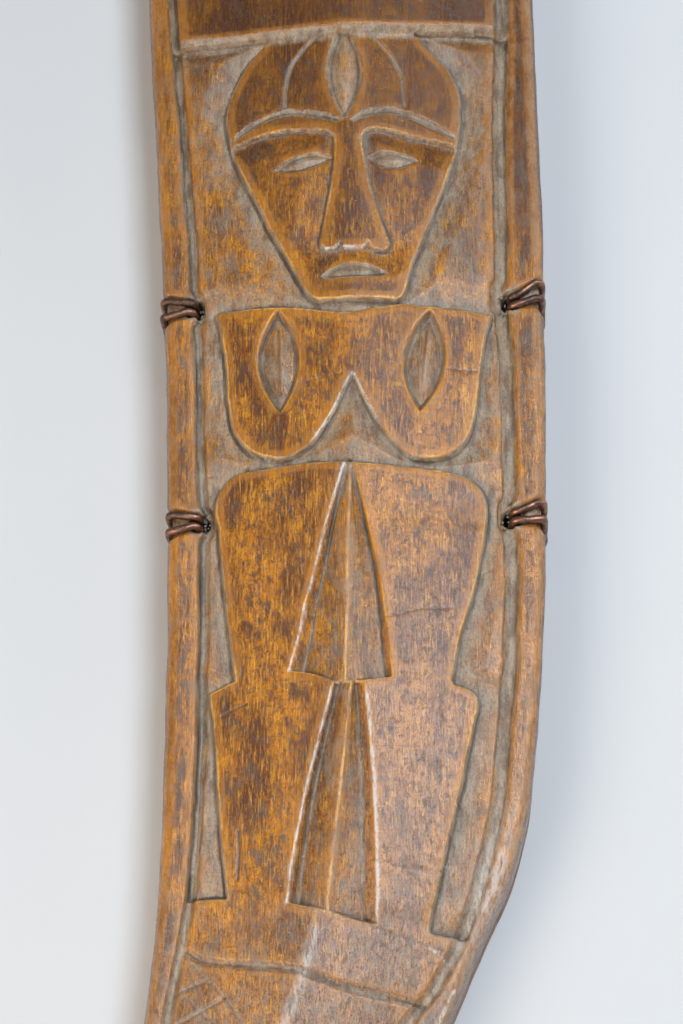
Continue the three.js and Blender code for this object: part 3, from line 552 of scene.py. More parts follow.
    def face(self):
        """Cheeks cut back under the brow and beside the nose, then eyes, mouth and brows."""
        d, jitter = self.d, self.jitter
        points = np.stack([self.x.ravel(), self.y.ravel()], axis=1)
        cheek = inside(points, CHEEKS).reshape(self.x.shape) & (d["head"] + jitter < 0)
        off = d["brow_nose"] + jitter * 0.6
        out = np.maximum(off, 0)
        self.z = self.z - cut_profile(out, 0.4, 1.0, 0.2, 0.0) * cheek * (off > 0)
        self.soil(0.85 * np.exp(-out) * cheek * (off > -0.1))
        on_face = (d["head"] < 0) & (d["brow_nose"] < 5)
        self.wear = np.maximum(self.wear, 0.8 * np.exp(-(d["brow_nose"] / 0.3) ** 2) * ~cheek * on_face)
        self.hollow("eye0", 0.5, 0.6, 0.5, 0.05, 0.2, 0.8)
        self.hollow("eye1", 0.5, 0.6, 0.5, 0.05, 0.2, 0.8)
        self.hollow("mouth", 0.5, 0.7, 0.3, 0.25, 0.3, 0.95)
        self.hollow("brow_leaf", 0.9, 0.8, 0.45, 0.0, 0.2, 0.62)
        self.hollow("brow0", 0.5, 0.55, 0.0, 0.45, 0.3, 0.9)
        self.hollow("brow1", 0.5, 0.55, 0.0, 0.45, 0.3, 0.9)

    def incised_lines(self):
        lines = GROOVES + [(line, 0.6, 0.4) for line in HAIR]
        for line, half, deep in lines:
            fade = self.line_cut(line, half, deep)
            self.soil(np.clip(fade / deep, 0, 1) * 0.9)
        self.scratch = np.zeros(self.x.shape)
        for line, half, deep in SCRATCHES:
            fade = self.line_cut(np.array(line, float), half, deep)
            self.soil(np.clip(fade / deep, 0, 1) * 0.15)
            self.scratch = np.maximum(self.scratch, np.clip(fade / 0.12, 0, 1))

    def line_cut(self, line, half, deep):
        """Cuts a V-shaped line and gives back its depth at each point."""
        dist = self.surface.distance("line", line, False, reach=half + 0.4)
        fade = deep * np.clip(1 - np.maximum(dist + self.jitter * 0.4, 0) / half, 0, 1)
        fade = np.where(dist < 50, fade, 0)
        self.z = self.z - fade
        return fade

    def lattice(self):
        """Crossed lines beside the toe's ridge and in the band near the mouth, with the band's bars."""
        x, y = self.x, self.y
        toe_field = (x < smooth(RIDGE, y) - 1.2) & self.in_field & (y < -92)
        band = (y > 150) & (y < 174) & self.in_field
        for sign in (-1, 1):
            phase = (x + sign * (y + 92) * 1.05) / LATTICE_PITCH
            off_line = np.abs(phase - np.round(phase)) * LATTICE_PITCH * 0.69
            cut = 0.35 * np.clip(1 - off_line / 0.45, 0, 1) * (toe_field | band)
            self.z = self.z - cut
            self.soil(cut * 2.4)
        for level in (148.5, 150.3, 173.7, 175.5):
            bar = 0.45 * np.clip(1 - np.abs(y - level) / 0.55, 0, 1) * self.in_field
            self.z = self.z - bar
            self.soil(bar * 2)

    def wire_seats(self):
        """A hole for each lashing and a scoop over the rim for its wires."""
        x, y = self.x, self.y
        for _, side, _, hole, level, out in SPOTS:
            reach = (x - hole) * side
            share = np.clip(reach / 6, 0, 1)
            middle = level + (out - level) * share
            across = np.clip(1 - np.abs((y - middle) / (1.9 + 1.2 * share)) ** 3, 0, 1)
            scoop = 1.35 * across * ease(-2.2, -0.4, reach) * (reach < 9)
            floor = RIM_TOP - 1.85 + 0.1 * wave(x, y, 1.2, 1.2, 51)
            self.z = np.where(scoop > 0, np.minimum(self.z, np.maximum(self.z - scoop, floor)), self.z)
            pit = np.hypot(x - hole, y - level) + 0.12 * wave(x, y, 1.3, 1.3, 52)
            self.z = self.z - 4.5 * (1 - ease(HOLE_R - 0.45, HOLE_R, pit))
            self.soil(1 - ease(HOLE_R, HOLE_R + 1.6, pit))
            self.soil(0.6 * np.clip(scoop, 0, 1))

    def settled_dirt(self):
        """Grey dirt in the rims' grooves and a film over the toe and the rims."""
        self.soil(0.95 * np.exp(-((self.inset - self.rim) / (self.half_groove + 0.25)) ** 4))
        self.soil(0.28 * ease(-30, -88, self.y) + 0.1 * ease(-150, -90, self.y))
        self.soil((self.inset < self.rim - self.half_groove) * 0.22)
        self.dirt = np.clip(self.dirt, 0, 1)
        self.wear = np.clip(self.wear, 0, 1)


# Edges painted pale: rubbed raw wood, and painted highlights where edges face the window lamp: (points,
# half width)
SCUFF_AND_HIGHLIGHT_LINES = [
    (bend([(-4.4, 13.2), (-1.8, 17), (0.6, 22), (1.9, 24.6)]), 0.3),
    (bend([(2.5, 24.4), (4, 20.8), (6.2, 16.4)]), 0.25),
    (bend([(0.7, 8), (-0.5, 3.8), (-2.6, -3.6), (-4.2, -10.5), (-5.5, -15.4)]), 0.35),
    (bend([(-6.0, -17), (-7, -22.5), (-8.9, -29.4)]), 0.3),
    (bend([(-1.4, -32.5), (-2.9, -38.9), (-4.9, -46.6), (-6.9, -56.1), (-8.2, -63.5),
           (-8.9, -69.5)]), 0.35),
    (bend([(6.0, -72), (6.0, -61.8), (5.6, -50), (5.0, -40.4), (4.3, -33)]), 0.45),
    (bend([(18.3, -83.4), (16, -88), (13, -93)]), 0.5), (bend([(14.5, -76.4), (17.5, -79)]), 0.3),
    (np.array(NOSE_BOTTOM[1:5]), 0.25), (np.array(NOSE_BOTTOM[6:10]), 0.25)]


def scuffs_and_painted_highlights(x, y):
    """How much pale colour is painted on: rubbed raw wood with painted highlights along the listed lines,
    painted sheen along the toe's ridge, and a rubbed patch with painted sheen on the right rim.
    """
    s = Surface(x, y)
    out = 0.55 * np.exp(-((x - 26 + 0.28 * (-60 - y)) / 3.0) ** 2 - ((y + 66) / 12) ** 2)
    crease = smooth(RIDGE, y)
    # painted sheen: a pale band along the right side of the toe's crease
    out = np.maximum(out, 0.5 * np.exp(-((x - crease - 1.0) / 0.9) ** 2) * (y < -73.5))
    for line, half in SCUFF_AND_HIGHLIGHT_LINES:
        out = np.maximum(out, 1 - ease(half * 0.2, half, s.distance("scuff_and_highlight", line, False, reach=1.5)))
    return out


def box_blur(a, half):
    """Mean over a square of 2 half + 1 samples."""
    for axis in (0, 1):
        width = [(0, 0), (0, 0)]
        width[axis] = (half + 1, half)
        total = np.cumsum(np.pad(a, width, mode="edge"), axis=axis)
        n = a.shape[axis]
        size = 2 * half + 1
        top = np.take(total, range(size, size + n), axis=axis)
        low = np.take(total, range(0, n), axis=axis)
        a = (top - low) / size
    return a


def board_grid():
    """The carving over a fine grid that fills the board's outline."""
    fine = FINE * 1
    across = 4 * round(GRID_WIDTH / fine / 4)
    rows = 4 * round((MOUTH - TOE) / fine / 4)
    ys = np.linspace(TOE, MOUTH, rows + 1)
    y = np.repeat(ys[:, None], across + 1, axis=1)
    left, right = edges(ys)
    share = np.linspace(0, 1, across + 1)[None, :]
    # columns crowd a little towards the rims' outer edges
    share = share - 0.035 * np.sin(2 * np.pi * share) / np.pi
    x = left[:, None] + (right - left)[:, None] * share
    moved_x, moved_y = snapped(x, y)
    border = np.zeros(x.shape, bool)
    border[0, :] = border[-1, :] = border[:, 0] = border[:, -1] = True
    x = np.where(border, x, moved_x)
    y = np.where(border, y, moved_y)
    return Carving(x, y)


def block_error(z, size):
    """How far each size by size block of cells is from a flat patch through its corners."""
    rows = (z.shape[0] - 1) // size
    columns = (z.shape[1] - 1) // size
    corner = z[::size, ::size]
    worst = np.zeros((rows, columns))
    for i in range(size + 1):
        for j in range(size + 1):
            u, v = i / size, j / size
            flat = (corner[:-1, :-1] * (1 - u) * (1 - v) + corner[1:, :-1] * u * (1 - v) + corner[:-1, 1:]
                    * (1 - u) * v
                    + corner[1:, 1:] * u * v)
            here = z[i:i + size * rows:size, j:j + size * columns:size][:rows, :columns]
            worst = np.maximum(worst, np.abs(here - flat))
    return worst


def grow(mask):
    """The mask and every cell around it."""
    out = mask.copy()
    out[1:] |= mask[:-1]
    out[:-1] |= mask[1:]
    out[:, 1:] |= out[:, :-1].copy()
    out[:, :-1] |= out[:, 1:].copy()
    return out


def adaptive_faces(z, coarse_error=0.035, fine_error=0.018):
    """Polygons over the grid: small cells where the height bends, large ones where it is even."""
    rows, columns = z.shape[0] - 1, z.shape[1] - 1
    split2 = block_error(z, 2) > fine_error
    has_fine = split2.reshape(rows // 4, 2, columns // 4, 2).any(axis=(1, 3))
    split4 = (block_error(z, 4) > coarse_error) | grow(has_fine)
    split4 |= has_fine
    leaves = []
    used = np.zeros(z.shape, bool)
    for r, c in np.argwhere(~split4):
        leaves.append((4 * r, 4 * c, 4))
    finer = np.repeat(np.repeat(split4, 2, axis=0), 2, axis=1)
    for r, c in np.argwhere(finer & ~split2):
        leaves.append((2 * r, 2 * c, 2))
    for r, c in np.argwhere(finer & split2):
        for i in (0, 1):
            for j in (0, 1):
                leaves.append((2 * r + i, 2 * c + j, 1))
    for r, c, size in leaves:
        used[r, c] = used[r + size, c] = used[r, c + size] = used[r + size, c + size] = True
    index = np.full(z.shape, -1)
    index[used] = np.arange(used.sum())
    faces = []
    for r, c, size in leaves:
        corners = [(r, c), (r, c + size), (r + size, c + size), (r + size, c)]
        face = []
        for k, (a, b) in enumerate(corners):
            face.append(index[a, b])
            if size > 1:
                e, f = corners[(k + 1) % 4]
                m, n = (a + e) // 2, (b + f) // 2
                if used[m, n]:
                    face.append(index[m, n])
        faces.append([int(v) for v in face])
    return used, index, faces


def build_mesh(name, verts, faces):
    """A smooth-shaded object of a mesh, in the scene."""
    mesh = bpy.data.meshes.new(name)
    mesh.from_pydata([tuple(v) for v in verts], [], faces)
    mesh.update()
    mesh.validate()
    mesh.shade_smooth()
    piece = bpy.data.objects.new(name, mesh)
    bpy.context.scene.collection.objects.link(piece)
    return piece


def point_values(piece, name, values):
    """Gives a mesh's points a value that its material reads by name."""
    layer = piece.data.attributes.new(name, "FLOAT", "POINT")
    layer.data.foreach_set("value", np.asarray(values, np.float32))


def pocket_right(y):
    """The x of the pocket's right wall."""
    return float(np.interp(y, [POCKET_END, POCKET_FULL], [POCKET_TIP, POCKET_HALF]))


def border_cells(rows, columns):
    """The grid's border cells in order: toe, right side, mouth, left side."""
    toe = [(0, c) for c in range(columns)]
    right = [(r, columns - 1) for r in range(1, rows)]
    mouth = [(rows - 1, c) for c in range(columns - 2, -1, -1)]
    left = [(r, 0) for r in range(rows - 2, 0, -1)]
    return toe + right + mouth + left


class Shell:
    """A board from its carved side's grid of points, with plain sides and a flat far side at far_z."""

    def __init__(self, x, y, z, far_z, pocket):
        self.used, index, self.faces = adaptive_faces(z)
        self.far_z = far_z
        self.pocket = pocket
        self.rows, self.columns = z.shape
        self.rise = (MOUTH - TOE) / (self.rows - 1)
        self.carved = np.stack([x[self.used], y[self.used], z[self.used]], axis=1)
        self.layers = [self.carved]
        self.ring = [cell for cell in border_cells(*z.shape) if self.used[cell]]
        self.border = [int(index[cell]) for cell in self.ring]
        self.extra = len(self.carved) + len(self.ring) * SIDE_STEPS
        self.far = dict(zip(self.ring, self.side_walls()))
        self.far_side()
        if pocket:
            self.pocket_walls()
            self.beside_pocket()
            self.mouth_end()

    def side_walls(self):
        """Rows of faces down the sides; gives back the points of the lowest row."""
        count = len(self.ring)
        edge = self.carved[self.border]
        above = self.border
        for step in range(1, SIDE_STEPS + 1):
            lower = edge.copy()
            lower[:, 2] += (self.far_z - edge[:, 2]) * step / SIDE_STEPS
            self.layers.append(lower)
            below = [len(self.carved) + count * (step - 1) + k for k in range(count)]
            for k in range(count):
                n = (k + 1) % count
                across_mouth = self.ring[k][0] == self.ring[n][0] == self.rows - 1
                if not (self.pocket and across_mouth):
                    self.faces.append([above[k], below[k], below[n], above[n]])
            above = below
        return above

    def run(self, column, low):
        """The far side's points along one side, for one block of four rows."""
        return [self.far[(r, column)] for r in range(low, low + 5) if (r, column) in self.far]

    def end_run(self, row):
        """The far side's points along the toe or the mouth, without the corners."""
        return [self.far[(row, c)] for c in range(1, self.columns - 1) if (row, c) in self.far]

    def far_side(self):
        """Strips right across the flat side, up to the pocket's end or the mouth."""
        last = self.rows - 1
        self.pocket_row = 4 * round((POCKET_END - TOE) / self.rise / 4) if self.pocket else last
        for low in range(0, self.pocket_row, 4):
            strip = self.run(0, low)
            if low + 4 == self.pocket_row:
                strip += [self.extra, self.extra + 3] if self.pocket else self.end_run(last)
            strip += self.run(self.columns - 1, low)[::-1]
            if low == 0:
                strip += self.end_run(0)[::-1]
            self.faces.append(strip)

    def pocket_walls(self):
        """The pocket's walls and ceiling from its end to the mouth; the right wall bends once."""
        lines = []
        for level in (TOE + self.pocket_row * self.rise, MOUTH):
            right = pocket_right(level)
            lines += [(-POCKET_HALF, level, self.far_z), (-POCKET_HALF, level, POCKET_TOP)]
            lines += [(right, level, POCKET_TOP), (right, level, self.far_z)]
        lines += [(POCKET_HALF, POCKET_FULL, z) for z in (POCKET_TOP, self.far_z)]
        self.layers.append(np.array(lines))
        a, b, c, d, e, f, g, h, bend_top, bend_low = range(self.extra, self.extra + 10)
        self.faces += [[a, b, f, e], [b, c, bend_top, g, f], [c, d, bend_low, bend_top],
                       [bend_top, bend_low, h, g], [a, d, c, b]]

    def beside_pocket(self):
        """The flat side's strips left and right of the pocket."""
        pair = (self.extra, self.extra + 3)
        mouth_pair = (self.extra + 4, self.extra + 7)
        following = self.extra + 10
        for low in range(self.pocket_row, self.rows - 1, 4):
            next_pair = mouth_pair
            if low + 4 < self.rows - 1:
                level = TOE + (low + 4) * self.rise
                ends = [(-POCKET_HALF, level, self.far_z), (pocket_right(level), level, self.far_z)]
                self.layers.append(np.array(ends))
                next_pair = (following, following + 1)
                following += 2
            self.faces.append(self.run(0, low) + [next_pair[0], pair[0]])
            self.faces.append(self.run(self.columns - 1, low)[::-1] + [pair[1], next_pair[1]])
            pair = next_pair

    def mouth_end(self):
        """The board's end round the pocket's opening."""
        e, f, g, h = range(self.extra + 4, self.extra + 8)
        mouth = [k for k, cell in enumerate(self.ring) if cell[0] == self.rows - 1]
        rings = [len(self.carved) + len(self.ring) * step for step in range(SIDE_STEPS)]
        lip = [self.border[k] for k in mouth]
        half = len(lip) // 2
        self.faces.append(lip[:half + 1][::-1] + [v + mouth[0] for v in rings] + [h, g])
        self.faces.append([f, e] + [v + mouth[-1] for v in rings][::-1] + lip[half:][::-1])
        self.faces.append([g, f, lip[half]])


def board_shell(name, x, y, z, far_z, pocket=False, flip=False):
    """The board's object and which grid points it uses. With flip the carved side is the lower one
    and all heights count downwards.
    """
    shell = Shell(x, y, z, far_z, pocket)
    verts = np.vstack(shell.layers)
    faces = shell.faces
    if flip:
        verts[:, 2] *= -1
        faces = [face[::-1] for face in faces]
    return build_mesh(name, verts * MM, faces), shell.used


def fill_values(piece, used, values, rest):
    """Gives the carved side's points their values and all the other points the value rest."""
    others = len(piece.data.vertices) - int(used.sum())
    for name, grid in values.items():
        point_values(piece, name, np.concatenate([grid[used], np.full(others, rest.get(name, 0.0))]))


def carved_board():
    """The face board with its carving and the values that its finish reads."""
    carving = board_grid()
    x, y, z, dirt = carving.x, carving.y, carving.z, carving.dirt
    piece, used = board_shell("carved_face_board", x, y, z, FACE_BACK, pocket=True)
    # smoke stain and painted shade: darker towards the mouth end and on the upper rims, standing in for
    # light that falls off there, and darker round the mouth
    smoke_stain_and_painted_shade = 0.85 * np.exp(-((x - 33) / 8) ** 2) * ease(46, 74, y)
    smoke_stain_and_painted_shade = smoke_stain_and_painted_shade + 0.5 * np.exp(-((x + 26) / 7) ** 2) * ease(60, 85, y)
    smoke_stain_and_painted_shade = smoke_stain_and_painted_shade + 0.5 * ease(46, 84, y) * (x > -22) + 0.1 * ease(92, 98, y) + 0.12 * ease(10, 60, y)
    smoke_stain_and_painted_shade = smoke_stain_and_painted_shade + 0.55 * np.exp(-((x - 2.5) / 7.5) ** 2 - ((y - 41.8) / 3.4) ** 2)
    smoke_stain_and_painted_shade = np.clip(smoke_stain_and_painted_shade, 0, 0.85) * (1 - 0.7 * ease(0.15, 0.6, dirt))
    ridge = smooth(RIDGE, y)
    # painted sheen: a pale grey-brown veil right of the ridge and over the toe, where the window lamp's
    # reflection falls
    painted_sheen = ease(0.5, 5, x - ridge) * (0.12 * ease(40, 15, y) + 0.3 * ease(0, -40, y))
    painted_sheen = painted_sheen + 0.25 * ease(-60, -85, y)
    left, right = edges(y, nicks=False)
    rimmed = (x - left < smooth(LEFT_RIM, y)) | (right - x < smooth(RIGHT_RIM, y))
    values = {"dirt": dirt, "wear": carving.wear, "scratch": carving.scratch, "scuff_and_highlight": scuffs_and_painted_highlights(x, y),
              "rim": rimmed * 1.0, "smoke_stain_and_painted_shade": smoke_stain_and_painted_shade, "painted_sheen": painted_sheen, "hollow": box_blur(z, 2) - z,
              "valley": box_blur(z, 7) - z}
    fill_values(piece, used, values, {"dirt": 0.15, "rim": 0.6, "smoke_stain_and_painted_shade": 0.35})
    return piece


def plain_board():
    """The back board: flat inside, its outside shaved with a drawknife and cut for the wires."""
    cell = 2 * FINE * 1
    across = 4 * round(GRID_WIDTH / cell / 4)
    rows = 4 * round((MOUTH - TOE) / cell / 4)
    ys = np.linspace(TOE, MOUTH, rows + 1)
    left, right = [np.repeat(side[:, None], across + 1, axis=1) for side in edges(ys)]
    share = np.linspace(0, 1, across + 1)[None, :]
    share = share - 0.5 * np.sin(2 * np.pi * share) / (2 * np.pi)
    x = left + (right - left) * share
    y = np.repeat(ys[:, None], across + 1, axis=1)
    depth = np.interp(np.minimum(x - left, right - x), [0, 0.8, 2], [1.4, 0.4, 0])
    shaved = 0.34 * np.abs(wave(x + 0.12 * y, y, 7, 46, 61)) + 0.1 * np.abs(wave(x, y, 3, 15, 62))
    depth = np.maximum(depth, shaved)
    dirt = 0 * x
    for _, side, _, hole, level, out in SPOTS:
        reach = (x - hole) * side
        middle = level + (out - level) * np.clip(reach / 6, 0, 1)
        across_seat = np.clip(1 - np.abs((y - middle) / 3.1) ** 3, 0, 1)
        seat = 2.0 * across_seat * ease(-1.6, -0.4, reach) * (reach < 9)
        pit = 3.4 * (1 - ease(HOLE_R - 0.5, HOLE_R, np.hypot(x - hole, y - level)))
        depth = np.maximum(depth, np.maximum(seat, pit))
        dirt = np.maximum(dirt, np.clip(np.maximum(seat, pit), 0, 1) * 0.8)
    piece, used = board_shell("shaved_back_board", x, y, -depth, -BACK_TOP, flip=True)
    lip = ease(2.5, 0, np.minimum(x - left, right - x))
    fill_values(piece, used, {"dirt": dirt, "wear": lip, "hollow": depth - box_blur(depth, 3)},
                {"wear": 0.2})
    return piece


# ---- tubes and oval bodies ----
def resample(path, spacing):
    """Points on a smooth space curve through path, evenly spaced."""
    p = np.array(path, float)
    padded = np.vstack([2 * p[0] - p[1], p, 2 * p[-1] - p[-2]])
    out = []
    for i in range(1, len(padded) - 2):
        a, b, c, d = padded[i - 1:i + 3]
        ta = np.sqrt(np.linalg.norm(b - a))
        tb = ta + np.sqrt(np.linalg.norm(c - b))
        tc = tb + np.sqrt(np.linalg.norm(d - c))
        for t in np.linspace(ta, tb, 12, endpoint=False):
            ab = a + (b - a) * t / ta
            bc = b + (c - b) * (t - ta) / (tb - ta)
            cd = c + (d - c) * (t - tb) / (tc - tb)
            abc = ab + (bc - ab) * t / tb
            bcd = bc + (cd - bc) * (t - ta) / (tc - ta)
            out.append(abc + (bcd - abc) * (t - ta) / (tb - ta))
    out.append(p[-1])
    out = np.array(out)
    length = np.concatenate([[0], np.cumsum(np.linalg.norm(np.diff(out, axis=0), axis=1))])
    count = max(int(length[-1] / spacing), 4)
    at = np.linspace(0, length[-1], count + 1)
    return np.stack([np.interp(at, length, out[:, k]) for k in range(3)], axis=1)


def tube(name, path, radius, sides=12, spacing=0.3, seed=1, rough=0.05):
    """A wire along a path, a little uneven as hand-drawn wire is, with rounded ends."""
    p = resample(path, spacing)
    along = np.gradient(p, axis=0)
    along /= np.linalg.norm(along, axis=1)[:, None]
    up = np.array([0.0, 0.0, 1.0]) if abs(along[0, 2]) < 0.9 else np.array([1.0, 0.0, 0.0])
    verts = []
    angles = 2 * np.pi * np.arange(sides) / sides
    rng = np.random.default_rng(seed)
    lumps = rng.uniform(-1, 1, (len(p) // 4 + 3, sides))
    for i, (q, t) in enumerate(zip(p, along)):
        up = up - t * (up @ t)
        up /= np.linalg.norm(up)
        other = np.cross(t, up)
        f = (i % 4) / 4
        lump = lumps[i // 4] * (1 - f) + lumps[i // 4 + 1] * f
        lump = (lump + np.roll(lump, 1) + np.roll(lump, -1)) / 3
        r = radius * (1 + rough * lump)
        verts.append(q + (np.cos(angles) * r)[:, None] * up + (np.sin(angles) * r)[:, None] * other)
    n = len(p)
    faces = [[i * sides + k, i * sides + (k + 1) % sides,
              (i + 1) * sides + (k + 1) % sides, (i + 1) * sides + k]
             for i in range(n - 1) for k in range(sides)]
    verts = np.vstack(verts + [p[:1] - along[:1] * radius * 0.5, p[-1:] + along[-1:] * radius * 0.5])
    for k in range(sides):
        faces.append([n * sides, (k + 1) % sides, k])
        faces.append([n * sides + 1, (n - 1) * sides + k, (n - 1) * sides + (k + 1) % sides])
    return build_mesh(name, verts * MM, faces)


def lashing_path(side, edge, hole, y, out_y):
    """Two turns of wire through the hole, over the rim, down the edge and back under."""
    top = RIM_TOP - 0.9 + WIRE_RADIUS
    under = 0.35 + WIRE_RADIUS
    outside = edge - side * (1.0 - WIRE_RADIUS)
    corner = side * 1.1
    pitch = 1.72  # between the turns at the hole
    spread = 3  # between the turns at the board's edge
    path = []
    for turn in (0, 1):
        in_y = y - pitch / 2 + turn * pitch
        turn_y = out_y - spread / 2 + turn * spread
        next_y = y - pitch / 2 + (turn + 1) * pitch
        if turn == 0:
            path += [(hole, in_y, 4), (hole, in_y, 9)]
        path += [(hole, in_y, top - 1.2), (hole + corner * 0.35, in_y + 0.1, top - 0.25),
                 (hole + corner, in_y + 0.2, top), ((hole + outside) / 2, (in_y + turn_y) / 2, top + 0.1),
                 (outside - corner, turn_y, top - 0.05), (outside - corner * 0.25, turn_y, top - 0.35),
                 (outside, turn_y, top - 1.3), (outside, turn_y, 8), (outside, turn_y, under + 1.3),
                 (outside - corner * 0.25, turn_y, under + 0.3), (outside - corner, turn_y, under)]
        if turn == 0:
            path += [(hole + corner, next_y, under), (hole + corner * 0.3, next_y, under + 0.3),
                     (hole, next_y, under + 1.4), (hole, next_y, 8)]
        else:
            path.append((hole + corner * 1.2, turn_y - 0.5, under))
    return path


# (y, half width) and (y, half thickness) of the grip
GRIP_WIDE = [(185, 14.2), (200, 13.4), (225, 13.2), (250, 14.6), (272, 17), (286, 17.6)]
GRIP_THICK = [(185, 9.3), (200, 8.9), (225, 8.8), (250, 9.2), (272, 9.5), (286, 9.6)]
HANDLE_MID = 11.2
PIN_LEVELS = (232, 258)


def coil(name, y0, y1, wire, seed):
    """Close turns of wire wound round the grip from y0 to y1."""
    turns = round((y1 - y0 - wire) / (wire * 1.02))
    path = []
    per_turn = 28
    for i in range(turns * per_turn + 1):
        angle = 2 * math.pi * i / per_turn - math.pi / 2
        y = y0 + wire / 2 + (y1 - y0 - wire) * i / (turns * per_turn)
        wide, thick = grip_at(y, 0.3 + wire / 2)
        path.append((wide * math.cos(angle), y, HANDLE_MID + thick * math.sin(angle)))
    return tube(name, path, wire / 2, sides=10, spacing=0.9, seed=seed, rough=0.03)


def loft(name, rings, ends=True):
    """A skin over rings of points that run from +x over +z; without ends the last ring joins the first."""
    rings = np.asarray(rings, float)
    count, sides = rings.shape[:2]
    faces = []
    for i in range(count - (1 if ends else 0)):
        low = i * sides
        high = (i + 1) % count * sides
        for k in range(sides):
            n = (k + 1) % sides
            faces.append([low + k, high + k, high + n, low + n])
    if ends:
        faces.append(list(range(sides)))
        faces.append([(count - 1) * sides + k for k in range(sides)][::-1])
    piece = build_mesh(name, rings.reshape(-1, 3) * MM, faces)
    piece.data.set_sharp_from_angle(angle=math.radians(38))
    return piece


def ovals(stations, sides=72):
    """Rings at stations of (y, half width, half thickness, z of the middle)."""
    angles = 2 * np.pi * np.arange(sides) / sides
    return [np.stack([wide * np.cos(angles), np.full(sides, float(y)),
                      middle + thick * np.sin(angles)], axis=1)
            for y, wide, thick, middle in stations]


def grip_at(y, out=0.0):
    """The grip's half width and half thickness at y, made larger by out."""
    return float(smooth(GRIP_WIDE, y)) + out, float(smooth(GRIP_THICK, y)) + out


def carved_grip():
    """The grip: long knife-cut facets, cut rings beside the bindings and a band of crossed lines."""
    sides = 120
    angles = 2 * np.pi * np.arange(sides) / sides
    rings = []
    for y in np.linspace(grip_low[1], grip_high[1], 210):
        wide, thick = grip_at(y)
        # distance round the grip, for lines that cross at even steps
        walk = np.cumsum(np.hypot(wide * np.sin(angles), thick * np.cos(angles))) * 2 * np.pi / sides
        turn = walk[-1] / 12
        cut = 0.16 * (1 - np.abs(np.cos(6 * angles + 0.004 * (y - 230))))
        cut = cut + 0.05 * (1 + wave(walk, walk * 0 + y, 6, 14, 71))
        for level in (220.6, 222.8, 263.0, 265.2, 280.4, 282.6):
            cut = cut + 0.5 * max(1 - abs(y - level) / 0.6, 0)
        if 238 < y < 252:
            for lean in (-1, 1):
                phase = walk / turn + lean * (y - 238) / 7
                cut = cut + 0.45 * np.clip(1 - np.abs(phase - np.round(phase)) * turn / 0.6, 0, 1)
        for level in (237.4, 252.6):
            cut = cut + 0.5 * max(1 - abs(y - level) / 0.6, 0)
        from_end = min(y - grip_low[1], grip_high[1] - y)
        cut = cut + 0.8 * (1 - math.sqrt(min(from_end / 0.9, 1)))
        cut = np.minimum(cut, 1.2)
        rings.append(np.stack([(wide - cut) * np.cos(angles), np.full(sides, y),
                               HANDLE_MID + (thick - cut) * np.sin(angles)], axis=1))
    slot = [(grip_high[1], 7.6, 2.5, BLADE_MID), (grip_low[1], 8.2, 2.6, BLADE_MID)]
    return loft("carved_grip", rings + ovals(slot, sides), ends=False)


def forged_blade():
    """A single-edged blade with a ground bevel, chamfered back and a tang that is peened over its rove."""
    shares = np.array([0, 0.03, 0.2, 0.38, 0.53, 0.56, 0.7, 0.85, 0.97, 1.0])
    ends = [blade_low[1] + d
            for d in (0, 0.4, 1, 2, 3.5, 5, 7, 9.5, 12, 15, 18, 22, 26, 30, 35, 40, 46, 52)]
    flats = list(np.arange(ends[-1] + 5, SHOULDER - 1, 5)) + [SHOULDER - 0.4, SHOULDER]
    tang = (list(np.arange(SHOULDER + 0.5, blade_high[1] - 3, 6))
            + [blade_high[1] - d for d in (2.6, 1.8, 0.6, 0)])
    rings = []
    for y in ends + flats + tang:
        if y > SHOULDER:
            reach = float(np.interp(y, [SHOULDER, SHOULDER + 3, 284, 296], [15.5, 6.4, 3.4, 3.4]))
            spine, edge = -reach, reach
            half = np.where((shares < 0.02) | (shares > 0.98), 1.25, 1.55)
            if y > blade_high[1] - 0.5:
                spine, edge, half = -2.7, 2.7, half * 0.8
        else:
            spine = float(np.interp(y, [blade_low[1], blade_low[1] + 30, SHOULDER],
                                    [3 - BLADE_HALF, -BLADE_HALF, -BLADE_HALF]))
            along = min((y - blade_low[1] + 0.4) / 55, 1)
            edge = spine + (BLADE_HALF - spine) * math.sqrt(1 - (1 - along) ** 2)
            half = np.interp(shares, [0, 0.03, 0.55, 0.97, 1], [1.15, 1.55, 1.48, 0.28, 0.04])
            half = half * min(0.25 + (y - blade_low[1]) / 16, 1)
            half = half * (1 - 0.02 * (1 + wave(shares * 32, shares * 0 + y, 5, 6, 81)))
        across = spine + (edge - spine) * shares
        upper = np.stack([across, np.full(len(shares), y), BLADE_MID + half], axis=1)
        lower = upper * (1, 1, -1) + (0, 0, 2 * BLADE_MID)
        rings.append(np.vstack([upper[::-1], lower]))
    return loft("forged_blade", rings)


def brass_ferrule():
    """A cup with a rolled lip, a waisted body and a raised hem; the grip fits in it."""
    low, high = ferrule_low[1], ferrule_high[1]
    outside = [(0, 14.8, 10.2), (0.25, 15.35, 10.75), (0.9, 15.6, 11), (2.6, 15.6, 11),
               (3, 15.2, 10.6), (3.3, 15.2, 10.6), (3.5, 15.4, 10.8), (3.9, 15.4, 10.8),
               (4.1, 15.1, 10.5), (7, 14.95, 10.35), (10.2, 15.1, 10.5), (10.5, 15.5, 10.9),
               (11, 15.6, 11), (13.4, 15.6, 11), (14, 15.45, 10.85), (14.4, 15, 10.4)]
    stations = [(low + along, wide, thick, HANDLE_MID) for along, wide, thick in outside]
    stations += [(y, *grip_at(y, 0.3), HANDLE_MID) for y in (high, 193, grip_low[1] - 0.3)]
    stations += [(grip_low[1] - 0.3, 8.6, 2.7, BLADE_MID), (low, 8.6, 2.7, BLADE_MID)]
    return loft("brass_ferrule", ovals(stations), ends=False)


